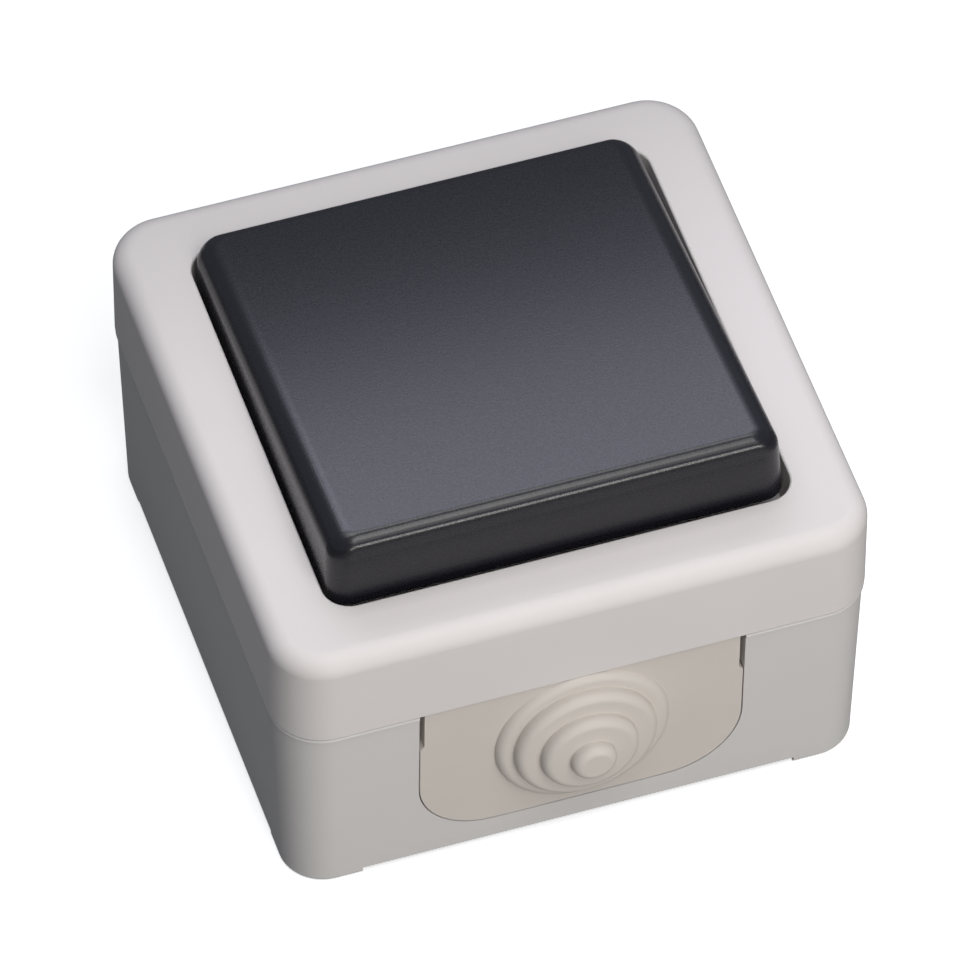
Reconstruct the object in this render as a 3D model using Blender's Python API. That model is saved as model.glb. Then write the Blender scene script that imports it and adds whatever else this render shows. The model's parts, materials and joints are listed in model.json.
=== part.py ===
"""Surface mounted light switch with a tilting rocker, a two-part box and two cable grommets.

The switch lies on its back: +Z points out of the wall, -Y is the lower end when it is mounted.
The origin is the middle of the back. Lengths are in metres and angles in degrees.
The rocker is modelled level about its hinge and then tilted into the position it rests in.
"""

from math import acos, cos, pi, radians, sin, sqrt

import bmesh
import bpy
from mathutils import Matrix, Vector

# Clearances
FIT = 0.0003                    # between fixed pieces that touch, and round pins and screws
RUNNING_GAP = 0.0006            # round the tube that swings in the bearing frame
TIP_GAP = 0.00035               # plunger tip to contact lever
EMBED = 0.0004                  # how far a boss or rib reaches into the wall that carries it
THROUGH = 0.002                 # how far a cutter runs past the wall that it cuts

# Box
BODY_WIDTH = 0.066              # outside of the cover, both ways
CORNER_RADIUS = 0.007
SEAM_HEIGHT = 0.025             # joint line between base and cover
SEAM_GAP = 0.0003
BODY_HEIGHT = 0.0374            # back to the face of the cover
BASE_INSET = 0.00025            # base rim inside the cover's wall
BASE_DRAFT = 0.0007             # narrowing of the base towards its back, each side
EDGE_CHAMFER = 0.0003

# Base
BASE_WALL = 0.002               # at the back, where the wall is thinnest
FLOOR_THICKNESS = 0.0025
FOOT_HEIGHT = 0.0004            # corner pads that stand on the wall
FOOT_LENGTH = 0.008
FLOOR_CHAMFER = 0.001
LIP_HEIGHT = 0.0013             # tongue that rises into the cover
KNOCKOUT_RADIUS = 0.008
KNOCKOUT_GROOVE = 0.0008
KNOCKOUT_DEPTH = 0.0013
PILLAR_RADIUS = 0.0035          # carries a cover screw
PILLAR_X = 0.0195
PILLAR_RIB = 0.0018
PILLAR_RIB_TOP = 0.018
POST_RADIUS = 0.0034            # carries an insert screw
WALL_SLOT_X = 0.0185            # screws that hold the box on the wall
WALL_SLOT_Y = 0.0175
WALL_SLOT_WIDTH = 0.0044
WALL_SLOT_LENGTH = 0.0085

# Cover
COVER_WALL = 0.0016
COVER_PLATE = 0.002
COVER_FILLET = 0.0023
WINDOW_WIDTH = 0.0516
WINDOW_RADIUS = 0.003
WINDOW_ROUND = 0.0003
WELL_WALL = 0.0016
SKIRT_CLEARANCE = 0.0008        # under the rocker's dipped end
WELL_FLOOR = 0.0016
APERTURE_X = 0.013              # half sizes of the opening under the rocker
APERTURE_Y = 0.0097
APERTURE_RADIUS = 0.0015
COVER_BOSS = 0.002              # length of the screw bosses under the well
COVER_RIB = 0.0012
COVER_RIB_SPACING = 0.017

# Gasket
GASKET_THICKNESS = 0.0012
GASKET_WIDTH = 0.0012
GASKET_LEDGE = 0.001

# Cable grommets
GROMMET_HALF = 0.0178
GROMMET_RADIUS = 0.008
GROMMET_GAP = 0.0003
GROMMET_RELIEF = 0.0003         # the sides step back near the seam
GROMMET_RELIEF_DROP = 0.006     # seam down to where the sides step back
FLANGE_MARGIN = 0.0015
FLANGE_CLEARANCE = 0.0018       # flange to the floor of the base
FLANGE_THICKNESS = 0.0013
CONE_MARGIN = 0.0001            # foot of the stepped cone to the seam
CONE_TIP_RADIUS = 0.0026
CONE_STEP_PLACES = (1.0, 0.765, 0.412, 0.0)     # of each step, from the tip's radius to the foot's
CONE_FIRST_STEP = 0.001
CONE_STEP = 0.0014
CONE_ROUND = 0.0007
CONE_WALL = 0.0012

# Rocker
HINGE_DEPTH = 0.0039            # face of the cover down to the hinge axis
TILT = 5.4                      # to either side of level
ROCKER_GAP = 0.0007             # rocker's ends to the window
ROCKER_SIDE_GAP = 0.0005        # rocker's long sides to the window
ROCKER_TOP = 0.00945            # above the hinge, as is the next one
ROCKER_SKIRT = 0.0006
ROCKER_RADIUS = 0.0025
ROCKER_DRAFT = 0.0003
ROCKER_FILLET = 0.003           # along the two sides
ROCKER_END_FILLET = 0.0015      # along the two ends
ROCKER_WALL = 0.0016
ROCKER_PLATE = 0.0022
ROCKER_RIB = 0.0012
ROCKER_RIB_DEPTH = 0.0026
ROCKER_RIB_X = 0.0145
ROCKER_RIB_Y = 0.0125

# Cradle that carries the rocker and the plunger
CRADLE_HALF_X = 0.011
CRADLE_HALF_Y = 0.008
CRADLE_PLATE_Z = 0.0032
CRADLE_PLATE = 0.0016
CHEEK_X = 0.005
CHEEK_THICKNESS = 0.0016
CHEEK_RADIUS = 0.0028
CHEEK_TOP_HALF = 0.0056
PIN_RADIUS = 0.0015
PIN_END_X = 0.0102
TUBE_RADIUS = 0.0032
TUBE_BOTTOM = -0.009
WEB_THICKNESS = 0.0016
CLIP_HALF = 0.003
CLIP_THICKNESS = 0.0012
CLIP_HOOK = 0.0008
CLIP_HOOK_HEIGHT = 0.001

# Plunger and spring
PLUNGER_RADIUS = 0.0016
PLUNGER_REACH = 0.0125          # hinge axis to tip
PLUNGER_SHOULDER = -0.0052
SPIGOT_RADIUS = 0.0008
SPIGOT_LENGTH = 0.0015
SPRING_TOP = 0.0017
SPRING_RADIUS = 0.00135
SPRING_WIRE = 0.00022
SPRING_TURNS = 6

# Contact lever
LEVER_TILT = 9.0
LEVER_HALF_WIDTH = 0.0022
LEVER_END = 0.0095
LEVER_TOP = 0.0015              # above its pivot
LEVER_THICKNESS = 0.0008
SADDLE_RADIUS = 0.0009
SADDLE_LUG = 0.0019
RIVET_PLACE = 0.008             # pivot to contact rivet
RIVET_SHANK = 0.0007
RIVET_HEAD = 0.0017
RIVET_TAIL = 0.0013
RIVET_HEAD_HEIGHT = 0.0009
RIVET_TAIL_HEIGHT = 0.0005
FIXED_HEAD_HEIGHT = 0.0006

# Insert
INSERT_HALF_X = 0.011
INSERT_TOP_DEPTH = 0.0095       # hinge axis down to the insert's rim
INSERT_RADIUS = 0.0015
INSERT_WALL = 0.0018
INSERT_FLOOR = 0.0016
INSERT_BASE = 0.0032            # floor and the hollow under it
LEVER_ROOM = 0.0063             # lever pivot down to the insert's floor
LEVER_CLEARANCE = 0.0017        # lever ends to the contact chamber's walls
PARTITION = 0.0014
TERMINAL_CHAMBER = 0.0046
WIRE_WINDOW = 0.0075            # height of the wire entry in each end wall
EAR_X = 0.0175
EAR_Y = 0.012
EAR_RADIUS = 0.004
EAR_THICKNESS = 0.002
EAR_RISE = 0.0022               # insert's underside to the ears
FRAME_THICKNESS = 0.0016        # bearing frame on top of the insert
BEARING_X = 0.0072
BEARING_THICKNESS = 0.0024
BEARING_ARM = 0.0018
BEARING_RISE = 0.0026           # above the hinge axis
TUBE_OPENING_RADIUS = 0.0034    # corners of the opening for the plunger's tube

# Terminals
STRIP_THICKNESS = 0.001
STRIP_HALF_WIDTH = 0.003
STRIP_SETBACK = 0.0006          # strip ends inside the insert's ends
STRIP_BEND = 0.0008
KNIFE_RISE = 0.0003             # knife edge above the lever's pivot axis
SHELF_END = 0.0058
SHELF_RISER = 0.0102
CLAMP_HALF_X = 0.0041
CLAMP_GAP = 0.0004              # clamp to partition
CLAMP_THICKNESS = 0.0008
CLAMP_LIP = 0.0014
CLAMP_BEND = 0.0006
TERMINAL_SCREW_INSET = 0.0033   # from the insert's ends

# Screws: head radius, head height, shank radius, length
COVER_SCREW = (0.0029, 0.0019, 0.0014, 0.0155)
INSERT_SCREW = (0.0027, 0.0017, 0.0012, 0.0085)
TERMINAL_SCREW = (0.0024, 0.0017, 0.0012, 0.0052)
RECESS_REACH = 0.62             # cross recess: reach and depth as shares of the head's
RECESS_WIDTH = 0.0007
PAN_RIM = 0.35                  # height of the head's upright rim as a share of the head
PAN_FLAT = 0.55                 # radius of its flat top as a share of the head's radius

# Fineness of round shapes
CORNER_STEPS = 6
FILLET_STEPS = 6
TURN_STEPS = 24
SMALL_TURN_STEPS = 14
CONE_STEPS = 26
SHARP_ANGLE = 32.0

# Worked out from the sizes above
COVER_HALF = BODY_WIDTH / 2
HINGE_HEIGHT = BODY_HEIGHT - HINGE_DEPTH
GROMMET_RELIEF_Z = SEAM_HEIGHT - GROMMET_RELIEF_DROP
RIM_HALF = COVER_HALF - BASE_INSET
RIM_Z = SEAM_HEIGHT - SEAM_GAP / 2
FOOT_HALF = RIM_HALF - BASE_DRAFT
CAVITY_HALF = FOOT_HALF - BASE_WALL
FLOOR_TOP = FOOT_HEIGHT + FLOOR_THICKNESS
GROMMET_BOTTOM = FLOOR_TOP + FLANGE_CLEARANCE + FLANGE_MARGIN
CONE_RADIUS = (SEAM_HEIGHT - GROMMET_BOTTOM) / 2
CONE_HEIGHT = SEAM_HEIGHT - CONE_MARGIN - CONE_RADIUS
CONE_RADII = [CONE_TIP_RADIUS + (CONE_RADIUS - CONE_TIP_RADIUS) * place for place in CONE_STEP_PLACES]
COVER_INNER = COVER_HALF - COVER_WALL
LIP_HALF = COVER_INNER - FIT
LIP_TOP = RIM_Z + LIP_HEIGHT
GASKET_BOTTOM = LIP_TOP + FIT
GASKET_TOP = GASKET_BOTTOM + GASKET_THICKNESS
LEDGE_BOTTOM = GASKET_TOP + FIT
LEDGE_TOP = LEDGE_BOTTOM + GASKET_LEDGE
LEDGE_HALF = LIP_HALF - GASKET_WIDTH - FIT
WINDOW_HALF = WINDOW_WIDTH / 2
WELL_HALF = WINDOW_HALF + WELL_WALL
ROCKER_HALF = WINDOW_HALF - ROCKER_GAP
ROCKER_HALF_X = WINDOW_HALF - ROCKER_SIDE_GAP
SKIRT_DIP = ROCKER_HALF * sin(radians(TILT)) - ROCKER_SKIRT * cos(radians(TILT))
WELL_FLOOR_TOP = HINGE_HEIGHT - SKIRT_DIP - SKIRT_CLEARANCE
WELL_FLOOR_BOTTOM = WELL_FLOOR_TOP - WELL_FLOOR
PILLAR_TOP = WELL_FLOOR_BOTTOM - COVER_BOSS - FIT
BORE_RADIUS = PLUNGER_RADIUS + FIT
BORE_TOP = SPRING_TOP + FIT
TIP_CENTRE = PLUNGER_REACH - PLUNGER_RADIUS


def lever_pivot_height():
    """Height of the lever's pivot that leaves TIP_GAP under the plunger's round tip at rest."""
    tip_y = -TIP_CENTRE * sin(radians(TILT))
    tip_z = HINGE_HEIGHT - TIP_CENTRE * cos(radians(TILT))
    reach = PLUNGER_RADIUS + TIP_GAP + LEVER_TOP + tip_y * sin(radians(LEVER_TILT))
    return tip_z - reach / cos(radians(LEVER_TILT))


PIVOT_HEIGHT = lever_pivot_height()
INSERT_TOP = HINGE_HEIGHT - INSERT_TOP_DEPTH
INSERT_FLOOR_TOP = PIVOT_HEIGHT - LEVER_ROOM
INSERT_BOTTOM = INSERT_FLOOR_TOP - INSERT_BASE
CHAMBER_HALF_Y = LEVER_END + LEVER_CLEARANCE
PARTITION_OUTER = CHAMBER_HALF_Y + PARTITION
INSERT_HALF_Y = PARTITION_OUTER + TERMINAL_CHAMBER + INSERT_WALL
EAR_BOTTOM = INSERT_BOTTOM + EAR_RISE
EAR_TOP = EAR_BOTTOM + EAR_THICKNESS
POST_TOP = EAR_BOTTOM - FIT
FRAME_BOTTOM = INSERT_TOP + FIT
FRAME_TOP = FRAME_BOTTOM + FRAME_THICKNESS
STRIP_BOTTOM = INSERT_FLOOR_TOP + FIT
STRIP_TOP = STRIP_BOTTOM + STRIP_THICKNESS
STRIP_END = INSERT_HALF_Y - STRIP_SETBACK
TERMINAL_SCREW_Y = INSERT_HALF_Y - TERMINAL_SCREW_INSET
CLAMP_BOTTOM = STRIP_TOP + FIT
CLAMP_HALF_Y = TERMINAL_SCREW_Y - PARTITION_OUTER - CLAMP_GAP


def wall_half(z):
    """Half width of the base's outer wall at height z."""
    return FOOT_HALF + (RIM_HALF - FOOT_HALF) * z / RIM_Z


def clear_scene():
    for thing in list(bpy.data.objects):
        bpy.data.objects.remove(thing, do_unlink=True)


def plastic_or_metal(name, colour, roughness, metallic=0.0):
    material = bpy.data.materials.new(name)
    material.use_nodes = True
    shader = material.node_tree.nodes["Principled BSDF"]
    shader.inputs["Base Color"].default_value = (*colour, 1.0)
    shader.inputs["Roughness"].default_value = roughness
    shader.inputs["Metallic"].default_value = metallic
    material.diffuse_color = (*colour, 1.0)
    return material


def object_from(bm, name, material=None):
    """Turn a bmesh into an object with outward faces, smooth where its faces meet gently."""
    bmesh.ops.recalc_face_normals(bm, faces=bm.faces)
    if bm.calc_volume(signed=True) < 0:
        bmesh.ops.reverse_faces(bm, faces=bm.faces)
    mesh = bpy.data.meshes.new(name)
    bm.to_mesh(mesh)
    bm.free()
    mesh.shade_smooth()
    mesh.set_sharp_from_angle(angle=radians(SHARP_ANGLE))
    thing = bpy.data.objects.new(name, mesh)
    bpy.context.scene.collection.objects.link(thing)
    if material:
        mesh.materials.append(material)
    return thing


def rounded_rectangle(half_x, half_y, radius, z, steps=CORNER_STEPS):
    """Points of a rectangle with round corners, anticlockwise, at height z."""
    points = []
    for corner, (side_x, side_y) in enumerate(((1, 1), (-1, 1), (-1, -1), (1, -1))):
        for step in range(steps + 1):
            angle = (corner + step / steps) * pi / 2
            x = side_x * (half_x - radius) + radius * cos(angle)
            y = side_y * (half_y - radius) + radius * sin(angle)
            points.append((x, y, z))
    return points


def box_outline(half, z):
    """Outline of the box at one height. Its corner keeps one centre, so walls stay even."""
    return rounded_rectangle(half, half, CORNER_RADIUS - (COVER_HALF - half), z)


def loft(name, outlines, material=None, closed=False):
    """Skin outlines of equal point count, with flat caps unless the last meets the first."""
    bm = bmesh.new()
    rings = [[bm.verts.new(point) for point in outline] for outline in outlines]
    pairs = list(zip(rings, rings[1:]))
    if closed:
        pairs.append((rings[-1], rings[0]))
    else:
        bm.faces.new(rings[0])
        bm.faces.new(rings[-1])
    for lower, upper in pairs:
        for index in range(len(lower)):
            bm.faces.new((lower[index - 1], lower[index], upper[index], upper[index - 1]))
    return object_from(bm, name, material)


def prism(name, outline, direction, material=None):
    """Extrude a flat outline of 3-D points along a direction."""
    bm = bmesh.new()
    face = bm.faces.new([bm.verts.new(point) for point in outline])
    grown = bmesh.ops.extrude_face_region(bm, geom=[face])["geom"]
    moved = [item for item in grown if isinstance(item, bmesh.types.BMVert)]
    bmesh.ops.translate(bm, verts=moved, vec=Vector(direction))
    return object_from(bm, name, material)


def turned(name, profile, material=None, steps=TURN_STEPS, closed=False):
    """Spin a profile of (radius, height) points round the Z axis."""
    bm = bmesh.new()
    verts = [bm.verts.new((radius, 0.0, height)) for radius, height in profile]
    edges = [bm.edges.new(pair) for pair in zip(verts, verts[1:])]
    if closed:
        edges.append(bm.edges.new((verts[-1], verts[0])))
    bmesh.ops.spin(bm, geom=verts + edges, cent=(0, 0, 0), axis=(0, 0, 1), angle=2 * pi,
                   steps=steps, use_merge=True)
    bmesh.ops.remove_doubles(bm, verts=bm.verts, dist=1e-7)
    return object_from(bm, name, material)


def cylinder(name, radius, bottom, top, place=(0.0, 0.0), steps=TURN_STEPS):
    """Upright cylinder between two heights."""
    bm = bmesh.new()
    centre = Matrix.Translation((place[0], place[1], (bottom + top) / 2))
    bmesh.ops.create_cone(bm, cap_ends=True, segments=steps, radius1=radius, radius2=radius,
                          depth=top - bottom, matrix=centre)
    return object_from(bm, name)


def cross_pin(name, radius, start_x, end_x, place=(0.0, 0.0), steps=TURN_STEPS):
    """Cylinder along X between two places, centred at a (y, z) place."""
    bm = bmesh.new()
    centre = Matrix.Translation(((start_x + end_x) / 2, place[0], place[1]))
    bmesh.ops.create_cone(bm, cap_ends=True, segments=steps, radius1=radius, radius2=radius,
                          depth=abs(end_x - start_x), matrix=centre @ Matrix.Rotation(pi / 2, 4, "Y"))
    return object_from(bm, name)


def block(name, low, high):
    """Plain block between two corners."""
    bm = bmesh.new()
    low, high = Vector(low), Vector(high)
    size = Matrix.Diagonal((*(high - low), 1.0))
    bmesh.ops.create_cube(bm, size=1.0, matrix=Matrix.Translation((low + high) / 2) @ size)
    return object_from(bm, name)


def capsule(name, start, end, radius, bottom, top, steps=10):
    """Upright slot shape: two half circles joined by straight sides."""
    start, end = Vector(start), Vector(end)
    along = (end - start).normalized()
    across = Vector((-along.y, along.x))
    outline = []
    for centre, side in ((end, 1), (start, -1)):
        for step in range(steps + 1):
            angle = pi * step / steps
            point = centre + side * radius * (cos(angle) * -across + sin(angle) * along)
            outline.append((point.x, point.y, bottom))
    return prism(name, outline, (0, 0, top - bottom))


def rounded_path(corners, radius, steps=4):
    """Path of 2-D points whose inner corners are replaced by arcs."""
    corners = [Vector(corner) for corner in corners]
    path = [corners[0]]
    for before, corner, after in zip(corners, corners[1:], corners[2:]):
        back, ahead = (before - corner).normalized(), (after - corner).normalized()
        half_turn = (pi - acos(max(-1.0, min(1.0, back.dot(ahead))))) / 2
        middle = (back + ahead).normalized()
        centre = corner + middle * radius / cos(half_turn)
        across = (ahead - back).normalized()
        for step in range(steps + 1):
            angle = half_turn * (2 * step / steps - 1)
            path.append(centre + radius * (sin(angle) * across - cos(angle) * middle))
    path.append(corners[-1])
    return path


def strip(name, path, half_width, thickness, material, along_x=True):
    """Bent sheet strip: a ribbon drawn along a path and thickened evenly to both sides."""
    bm = bmesh.new()
    if along_x:
        verts = [bm.verts.new((-half_width, point.x, point.y)) for point in path]
        width = (2 * half_width, 0, 0)
    else:
        verts = [bm.verts.new((point.x, -half_width, point.y)) for point in path]
        width = (0, 2 * half_width, 0)
    edges = [bm.edges.new(pair) for pair in zip(verts, verts[1:])]
    grown = bmesh.ops.extrude_edge_only(bm, edges=edges)["geom"]
    moved = [item for item in grown if isinstance(item, bmesh.types.BMVert)]
    bmesh.ops.translate(bm, verts=moved, vec=Vector(width))
    thing = object_from(bm, name, material)
    sheet = thing.modifiers.new("sheet", "SOLIDIFY")
    sheet.thickness = thickness
    sheet.offset = 0.0
    sheet.use_even_offset = True
    return thing


def combine(target, tool, operation):
    """Add a Boolean of a hidden tool, which moves with the target's own parent."""
    modifier = target.modifiers.new(tool.name, "BOOLEAN")
    modifier.operation = operation
    modifier.solver = "EXACT"
    modifier.object = tool
    tool.hide_render = True
    tool.display_type = "WIRE"
    if target.parent:
        tool.parent = target.parent


def add(target, *tools):
    for tool in tools:
        combine(target, tool, "UNION")


def cut(target, *tools):
    for tool in tools:
        combine(target, tool, "DIFFERENCE")


def pivot(name, place, turn_x=0.0, turn_z=0.0):
    """Empty on a joint's axis that carries what turns there."""
    empty = bpy.data.objects.new(name, None)
    empty.location = place
    empty.rotation_euler = (radians(turn_x), 0.0, radians(turn_z))
    bpy.context.scene.collection.objects.link(empty)
    return empty


def fillet_levels(radius, steps=FILLET_STEPS):
    """(inset, drop below the top) pairs of a quarter round, from its foot to its crown."""
    levels = []
    for step in range(steps + 1):
        angle = pi / 2 * step / steps
        levels.append((radius * (1 - cos(angle)), radius * (1 - sin(angle))))
    return levels


def screw_places():
    """(x, y) of the pillars under the cover and of the posts under the insert."""
    pillars = [(PILLAR_X, 0.0), (-PILLAR_X, 0.0)]
    posts = [(EAR_X, EAR_Y), (-EAR_X, -EAR_Y)]
    return pillars, posts


def base_box(material):
    """Base with its floor, drafted walls, sealing lip, pillars, posts and cable notches."""
    box = loft("base_box", [
        box_outline(FOOT_HALF - EDGE_CHAMFER, 0.0),
        box_outline(FOOT_HALF, EDGE_CHAMFER),
        box_outline(RIM_HALF, RIM_Z),
        box_outline(LIP_HALF, RIM_Z),
        box_outline(LIP_HALF, LIP_TOP),
    ], material)
    cut(box, loft("base_cavity", [
        box_outline(CAVITY_HALF - FLOOR_CHAMFER, FLOOR_TOP),
        box_outline(CAVITY_HALF, FLOOR_TOP + FLOOR_CHAMFER),
        box_outline(CAVITY_HALF, LIP_TOP + THROUGH),
    ]))
    pillars, posts = screw_places()
    for number, (x, y) in enumerate(pillars, 1):
        side = 1 if x > 0 else -1
        rib_x = sorted((side * (abs(x) + PILLAR_RADIUS - EMBED), side * (CAVITY_HALF + EMBED)))
        add(box, cylinder(f"pillar_{number}", PILLAR_RADIUS, FLOOR_TOP - EMBED, PILLAR_TOP, (x, y)))
        add(box, block(f"pillar_rib_{number}", (rib_x[0], y - PILLAR_RIB / 2, FLOOR_TOP - EMBED),
                       (rib_x[1], y + PILLAR_RIB / 2, PILLAR_RIB_TOP)))
        hole_bottom = WELL_FLOOR_TOP - COVER_SCREW[3] - THROUGH / 2
        cut(box, cylinder(f"pillar_hole_{number}", COVER_SCREW[2] + FIT, hole_bottom,
                          PILLAR_TOP + THROUGH, (x, y), SMALL_TURN_STEPS))
    for number, (x, y) in enumerate(posts, 1):
        add(box, cylinder(f"post_{number}", POST_RADIUS, FLOOR_TOP - EMBED, POST_TOP, (x, y)))
        hole_bottom = EAR_TOP - INSERT_SCREW[3] - THROUGH / 2
        cut(box, cylinder(f"post_hole_{number}", INSERT_SCREW[2] + FIT, hole_bottom,
                          POST_TOP + THROUGH, (x, y), SMALL_TURN_STEPS))
    cut_cable_notches(box)
    cut_underside(box)
    return box


def cut_cable_notches(box):
    """U-shaped notches in both end walls, open at the rim for the grommets."""
    outline = u_outline(GROMMET_HALF + GROMMET_GAP, GROMMET_BOTTOM - GROMMET_GAP,
                        LIP_TOP + THROUGH, GROMMET_RADIUS + GROMMET_GAP)
    for name, side in (("notch_bottom", -1), ("notch_top", 1)):
        start = side * (CAVITY_HALF - THROUGH)
        points = [(x, start, z) for x, z in outline]
        cut(box, prism(name, points, (0, side * (RIM_HALF - CAVITY_HALF + 2 * THROUGH), 0)))


def cut_underside(box):
    """Shallow cross that leaves the corner pads, a knock-out groove and two wall-screw slots."""
    reach = COVER_HALF + THROUGH
    pad = FOOT_HALF - FOOT_LENGTH
    cut(box, block("recess_across", (-reach, -pad, -THROUGH), (reach, pad, FOOT_HEIGHT)))
    cut(box, block("recess_along", (-pad, -reach, -THROUGH), (pad, reach, FOOT_HEIGHT)))
    inner, outer = KNOCKOUT_RADIUS - KNOCKOUT_GROOVE / 2, KNOCKOUT_RADIUS + KNOCKOUT_GROOVE / 2
    depth = FOOT_HEIGHT + KNOCKOUT_DEPTH
    cut(box, turned("knockout_groove", [(inner, -THROUGH), (outer, -THROUGH), (outer, depth),
                                        (inner, depth)], closed=True))
    half = (WALL_SLOT_LENGTH - WALL_SLOT_WIDTH) / 2
    for number, side in enumerate((1, -1), 1):
        x, y = -side * WALL_SLOT_X, side * WALL_SLOT_Y
        cut(box, capsule(f"wall_slot_{number}", (x - half, y), (x + half, y), WALL_SLOT_WIDTH / 2,
                         -THROUGH, FLOOR_TOP + THROUGH))


def u_outline(half, bottom, top, radius, relief=0.0, relief_z=0.0, steps=7):
    """(x, z) points of a U with a flat top. The sides can step back above relief_z."""
    right = [(half - radius + radius * sin(pi / 2 * step / steps),
              bottom + radius - radius * cos(pi / 2 * step / steps)) for step in range(steps + 1)]
    if relief:
        right += [(half, relief_z), (half - relief, relief_z + relief), (half - relief, top)]
    else:
        right.append((half, top))
    left = [(-x, z) for x, z in reversed(right)]
    return right + left


def stepped_profile(radii, first, step, rounding, foot):
    """Profile of the stepped cone, with the outer edge of each step rounded."""
    profile = [(0.0, foot), (radii[0], foot)]
    height = first
    for index, radius in enumerate(radii):
        for part in range(3):
            angle = pi / 2 * part / 2
            profile.append((radius - rounding + rounding * cos(angle),
                            height - rounding + rounding * sin(angle)))
        inner = radii[index + 1] if index + 1 < len(radii) else 0.0
        profile.append((inner, height))
        height += step
    return profile


def cable_grommet(name, turn, material):
    """Rubber plate that slides into a notch, with a thin stepped cone to cut for a cable."""
    home = pivot(name + "_place", (0, 0, 0), turn_z=turn)
    outline = u_outline(GROMMET_HALF, GROMMET_BOTTOM, RIM_Z, GROMMET_RADIUS,
                        GROMMET_RELIEF, GROMMET_RELIEF_Z)
    flange_face = CAVITY_HALF - FIT
    plate_back = flange_face - FLANGE_THICKNESS / 2
    bm = bmesh.new()
    face = bm.faces.new([bm.verts.new((x, -plate_back, z)) for x, z in outline])
    grown = bmesh.ops.extrude_face_region(bm, geom=[face])["geom"]
    for vert in [item for item in grown if isinstance(item, bmesh.types.BMVert)]:
        vert.co.y = -wall_half(vert.co.z)
    plate = object_from(bm, name, material)
    plate.parent = home

    wide = u_outline(GROMMET_HALF + FLANGE_MARGIN, GROMMET_BOTTOM - FLANGE_MARGIN, LIP_TOP,
                     GROMMET_RADIUS + FLANGE_MARGIN)
    flange = prism(name + "_flange", [(x, -flange_face, z) for x, z in wide],
                   (0, FLANGE_THICKNESS, 0))
    lip_x = GROMMET_HALF - GROMMET_RELIEF - FIT
    lip = block(name + "_lip", (-lip_x, -LIP_HALF, RIM_Z - THROUGH / 2),
                (lip_x, -plate_back, LIP_TOP))
    add(plate, flange, lip)

    face_y = -wall_half(CONE_HEIGHT)
    outer = turned(name + "_cone", stepped_profile(CONE_RADII, CONE_FIRST_STEP, CONE_STEP,
                                                   CONE_ROUND, -CONE_WALL), steps=CONE_STEPS)
    inner_radii = [radius - CONE_WALL for radius in CONE_RADII]
    depth = face_y + CAVITY_HALF - FIT - FLANGE_THICKNESS - THROUGH
    hollow = turned(name + "_hollow", stepped_profile(inner_radii, CONE_FIRST_STEP - CONE_WALL,
                                                      CONE_STEP, CONE_ROUND / 2, depth),
                    steps=CONE_STEPS)
    for tool in (outer, hollow):
        tool.location = (0, face_y, CONE_HEIGHT)
        tool.rotation_euler = (pi / 2, 0, 0)
    add(plate, outer)
    cut(plate, hollow)
    return plate


def cover_frame(material):
    """Cover with a rounded face, a window, the well under the rocker and its screw bosses."""
    bottom = SEAM_HEIGHT + SEAM_GAP / 2
    shell = [box_outline(COVER_HALF - EDGE_CHAMFER, bottom),
             box_outline(COVER_HALF, bottom + EDGE_CHAMFER)]
    for inset, drop in fillet_levels(COVER_FILLET):
        shell.append(box_outline(COVER_HALF - inset, BODY_HEIGHT - drop))
    cover = loft("cover_frame", shell, material)
    plate_bottom = BODY_HEIGHT - COVER_PLATE
    slope = min(COVER_FILLET - COVER_WALL, plate_bottom - LEDGE_TOP)
    cut(cover, loft("cover_cavity", [
        box_outline(COVER_INNER, bottom - THROUGH),
        box_outline(COVER_INNER, LEDGE_BOTTOM),
        box_outline(LEDGE_HALF, LEDGE_BOTTOM),
        box_outline(LEDGE_HALF, LEDGE_TOP),
        box_outline(COVER_INNER, LEDGE_TOP),
        box_outline(COVER_INNER, plate_bottom - slope),
        box_outline(COVER_INNER - slope, plate_bottom),
    ]))
    add(cover, loft("well", [
        rounded_rectangle(WELL_HALF, WELL_HALF, WINDOW_RADIUS + WELL_WALL, z)
        for z in (WELL_FLOOR_BOTTOM, plate_bottom + EMBED)]))
    for number, (x, y, across) in enumerate(cover_rib_places(), 1):
        half_x = COVER_RIB / 2 if across else (COVER_INNER - WELL_HALF) / 2 + EMBED
        half_y = (COVER_INNER - WELL_HALF) / 2 + EMBED if across else COVER_RIB / 2
        add(cover, block(f"cover_rib_{number}", (x - half_x, y - half_y, LEDGE_TOP + EMBED),
                         (x + half_x, y + half_y, plate_bottom + EMBED)))
    pillars, _ = screw_places()
    for number, (x, y) in enumerate(pillars, 1):
        add(cover, cylinder(f"cover_boss_{number}", PILLAR_RADIUS, PILLAR_TOP + FIT,
                            WELL_FLOOR_BOTTOM + EMBED, (x, y)))
    cut(cover, window_cutter())
    cut(cover, loft("aperture", [
        rounded_rectangle(APERTURE_X, APERTURE_Y, APERTURE_RADIUS, z)
        for z in (WELL_FLOOR_BOTTOM - THROUGH, WELL_FLOOR_TOP + THROUGH)]))
    for number, (x, y) in enumerate(pillars, 1):
        cut(cover, cylinder(f"cover_hole_{number}", COVER_SCREW[2] + FIT, PILLAR_TOP - THROUGH,
                            WELL_FLOOR_TOP + THROUGH, (x, y), SMALL_TURN_STEPS))
    return cover


def window_cutter():
    """Window down to the well's floor, with its top edge rounded over."""
    levels = [(0.0, WELL_FLOOR_TOP)]
    for inset, drop in fillet_levels(WINDOW_ROUND, 3):
        levels.append((inset, BODY_HEIGHT - drop))
    levels.append((WINDOW_ROUND, BODY_HEIGHT + THROUGH))
    return loft("window", [rounded_rectangle(WINDOW_HALF + grow, WINDOW_HALF + grow,
                                             WINDOW_RADIUS + grow, z) for grow, z in levels])


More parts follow.
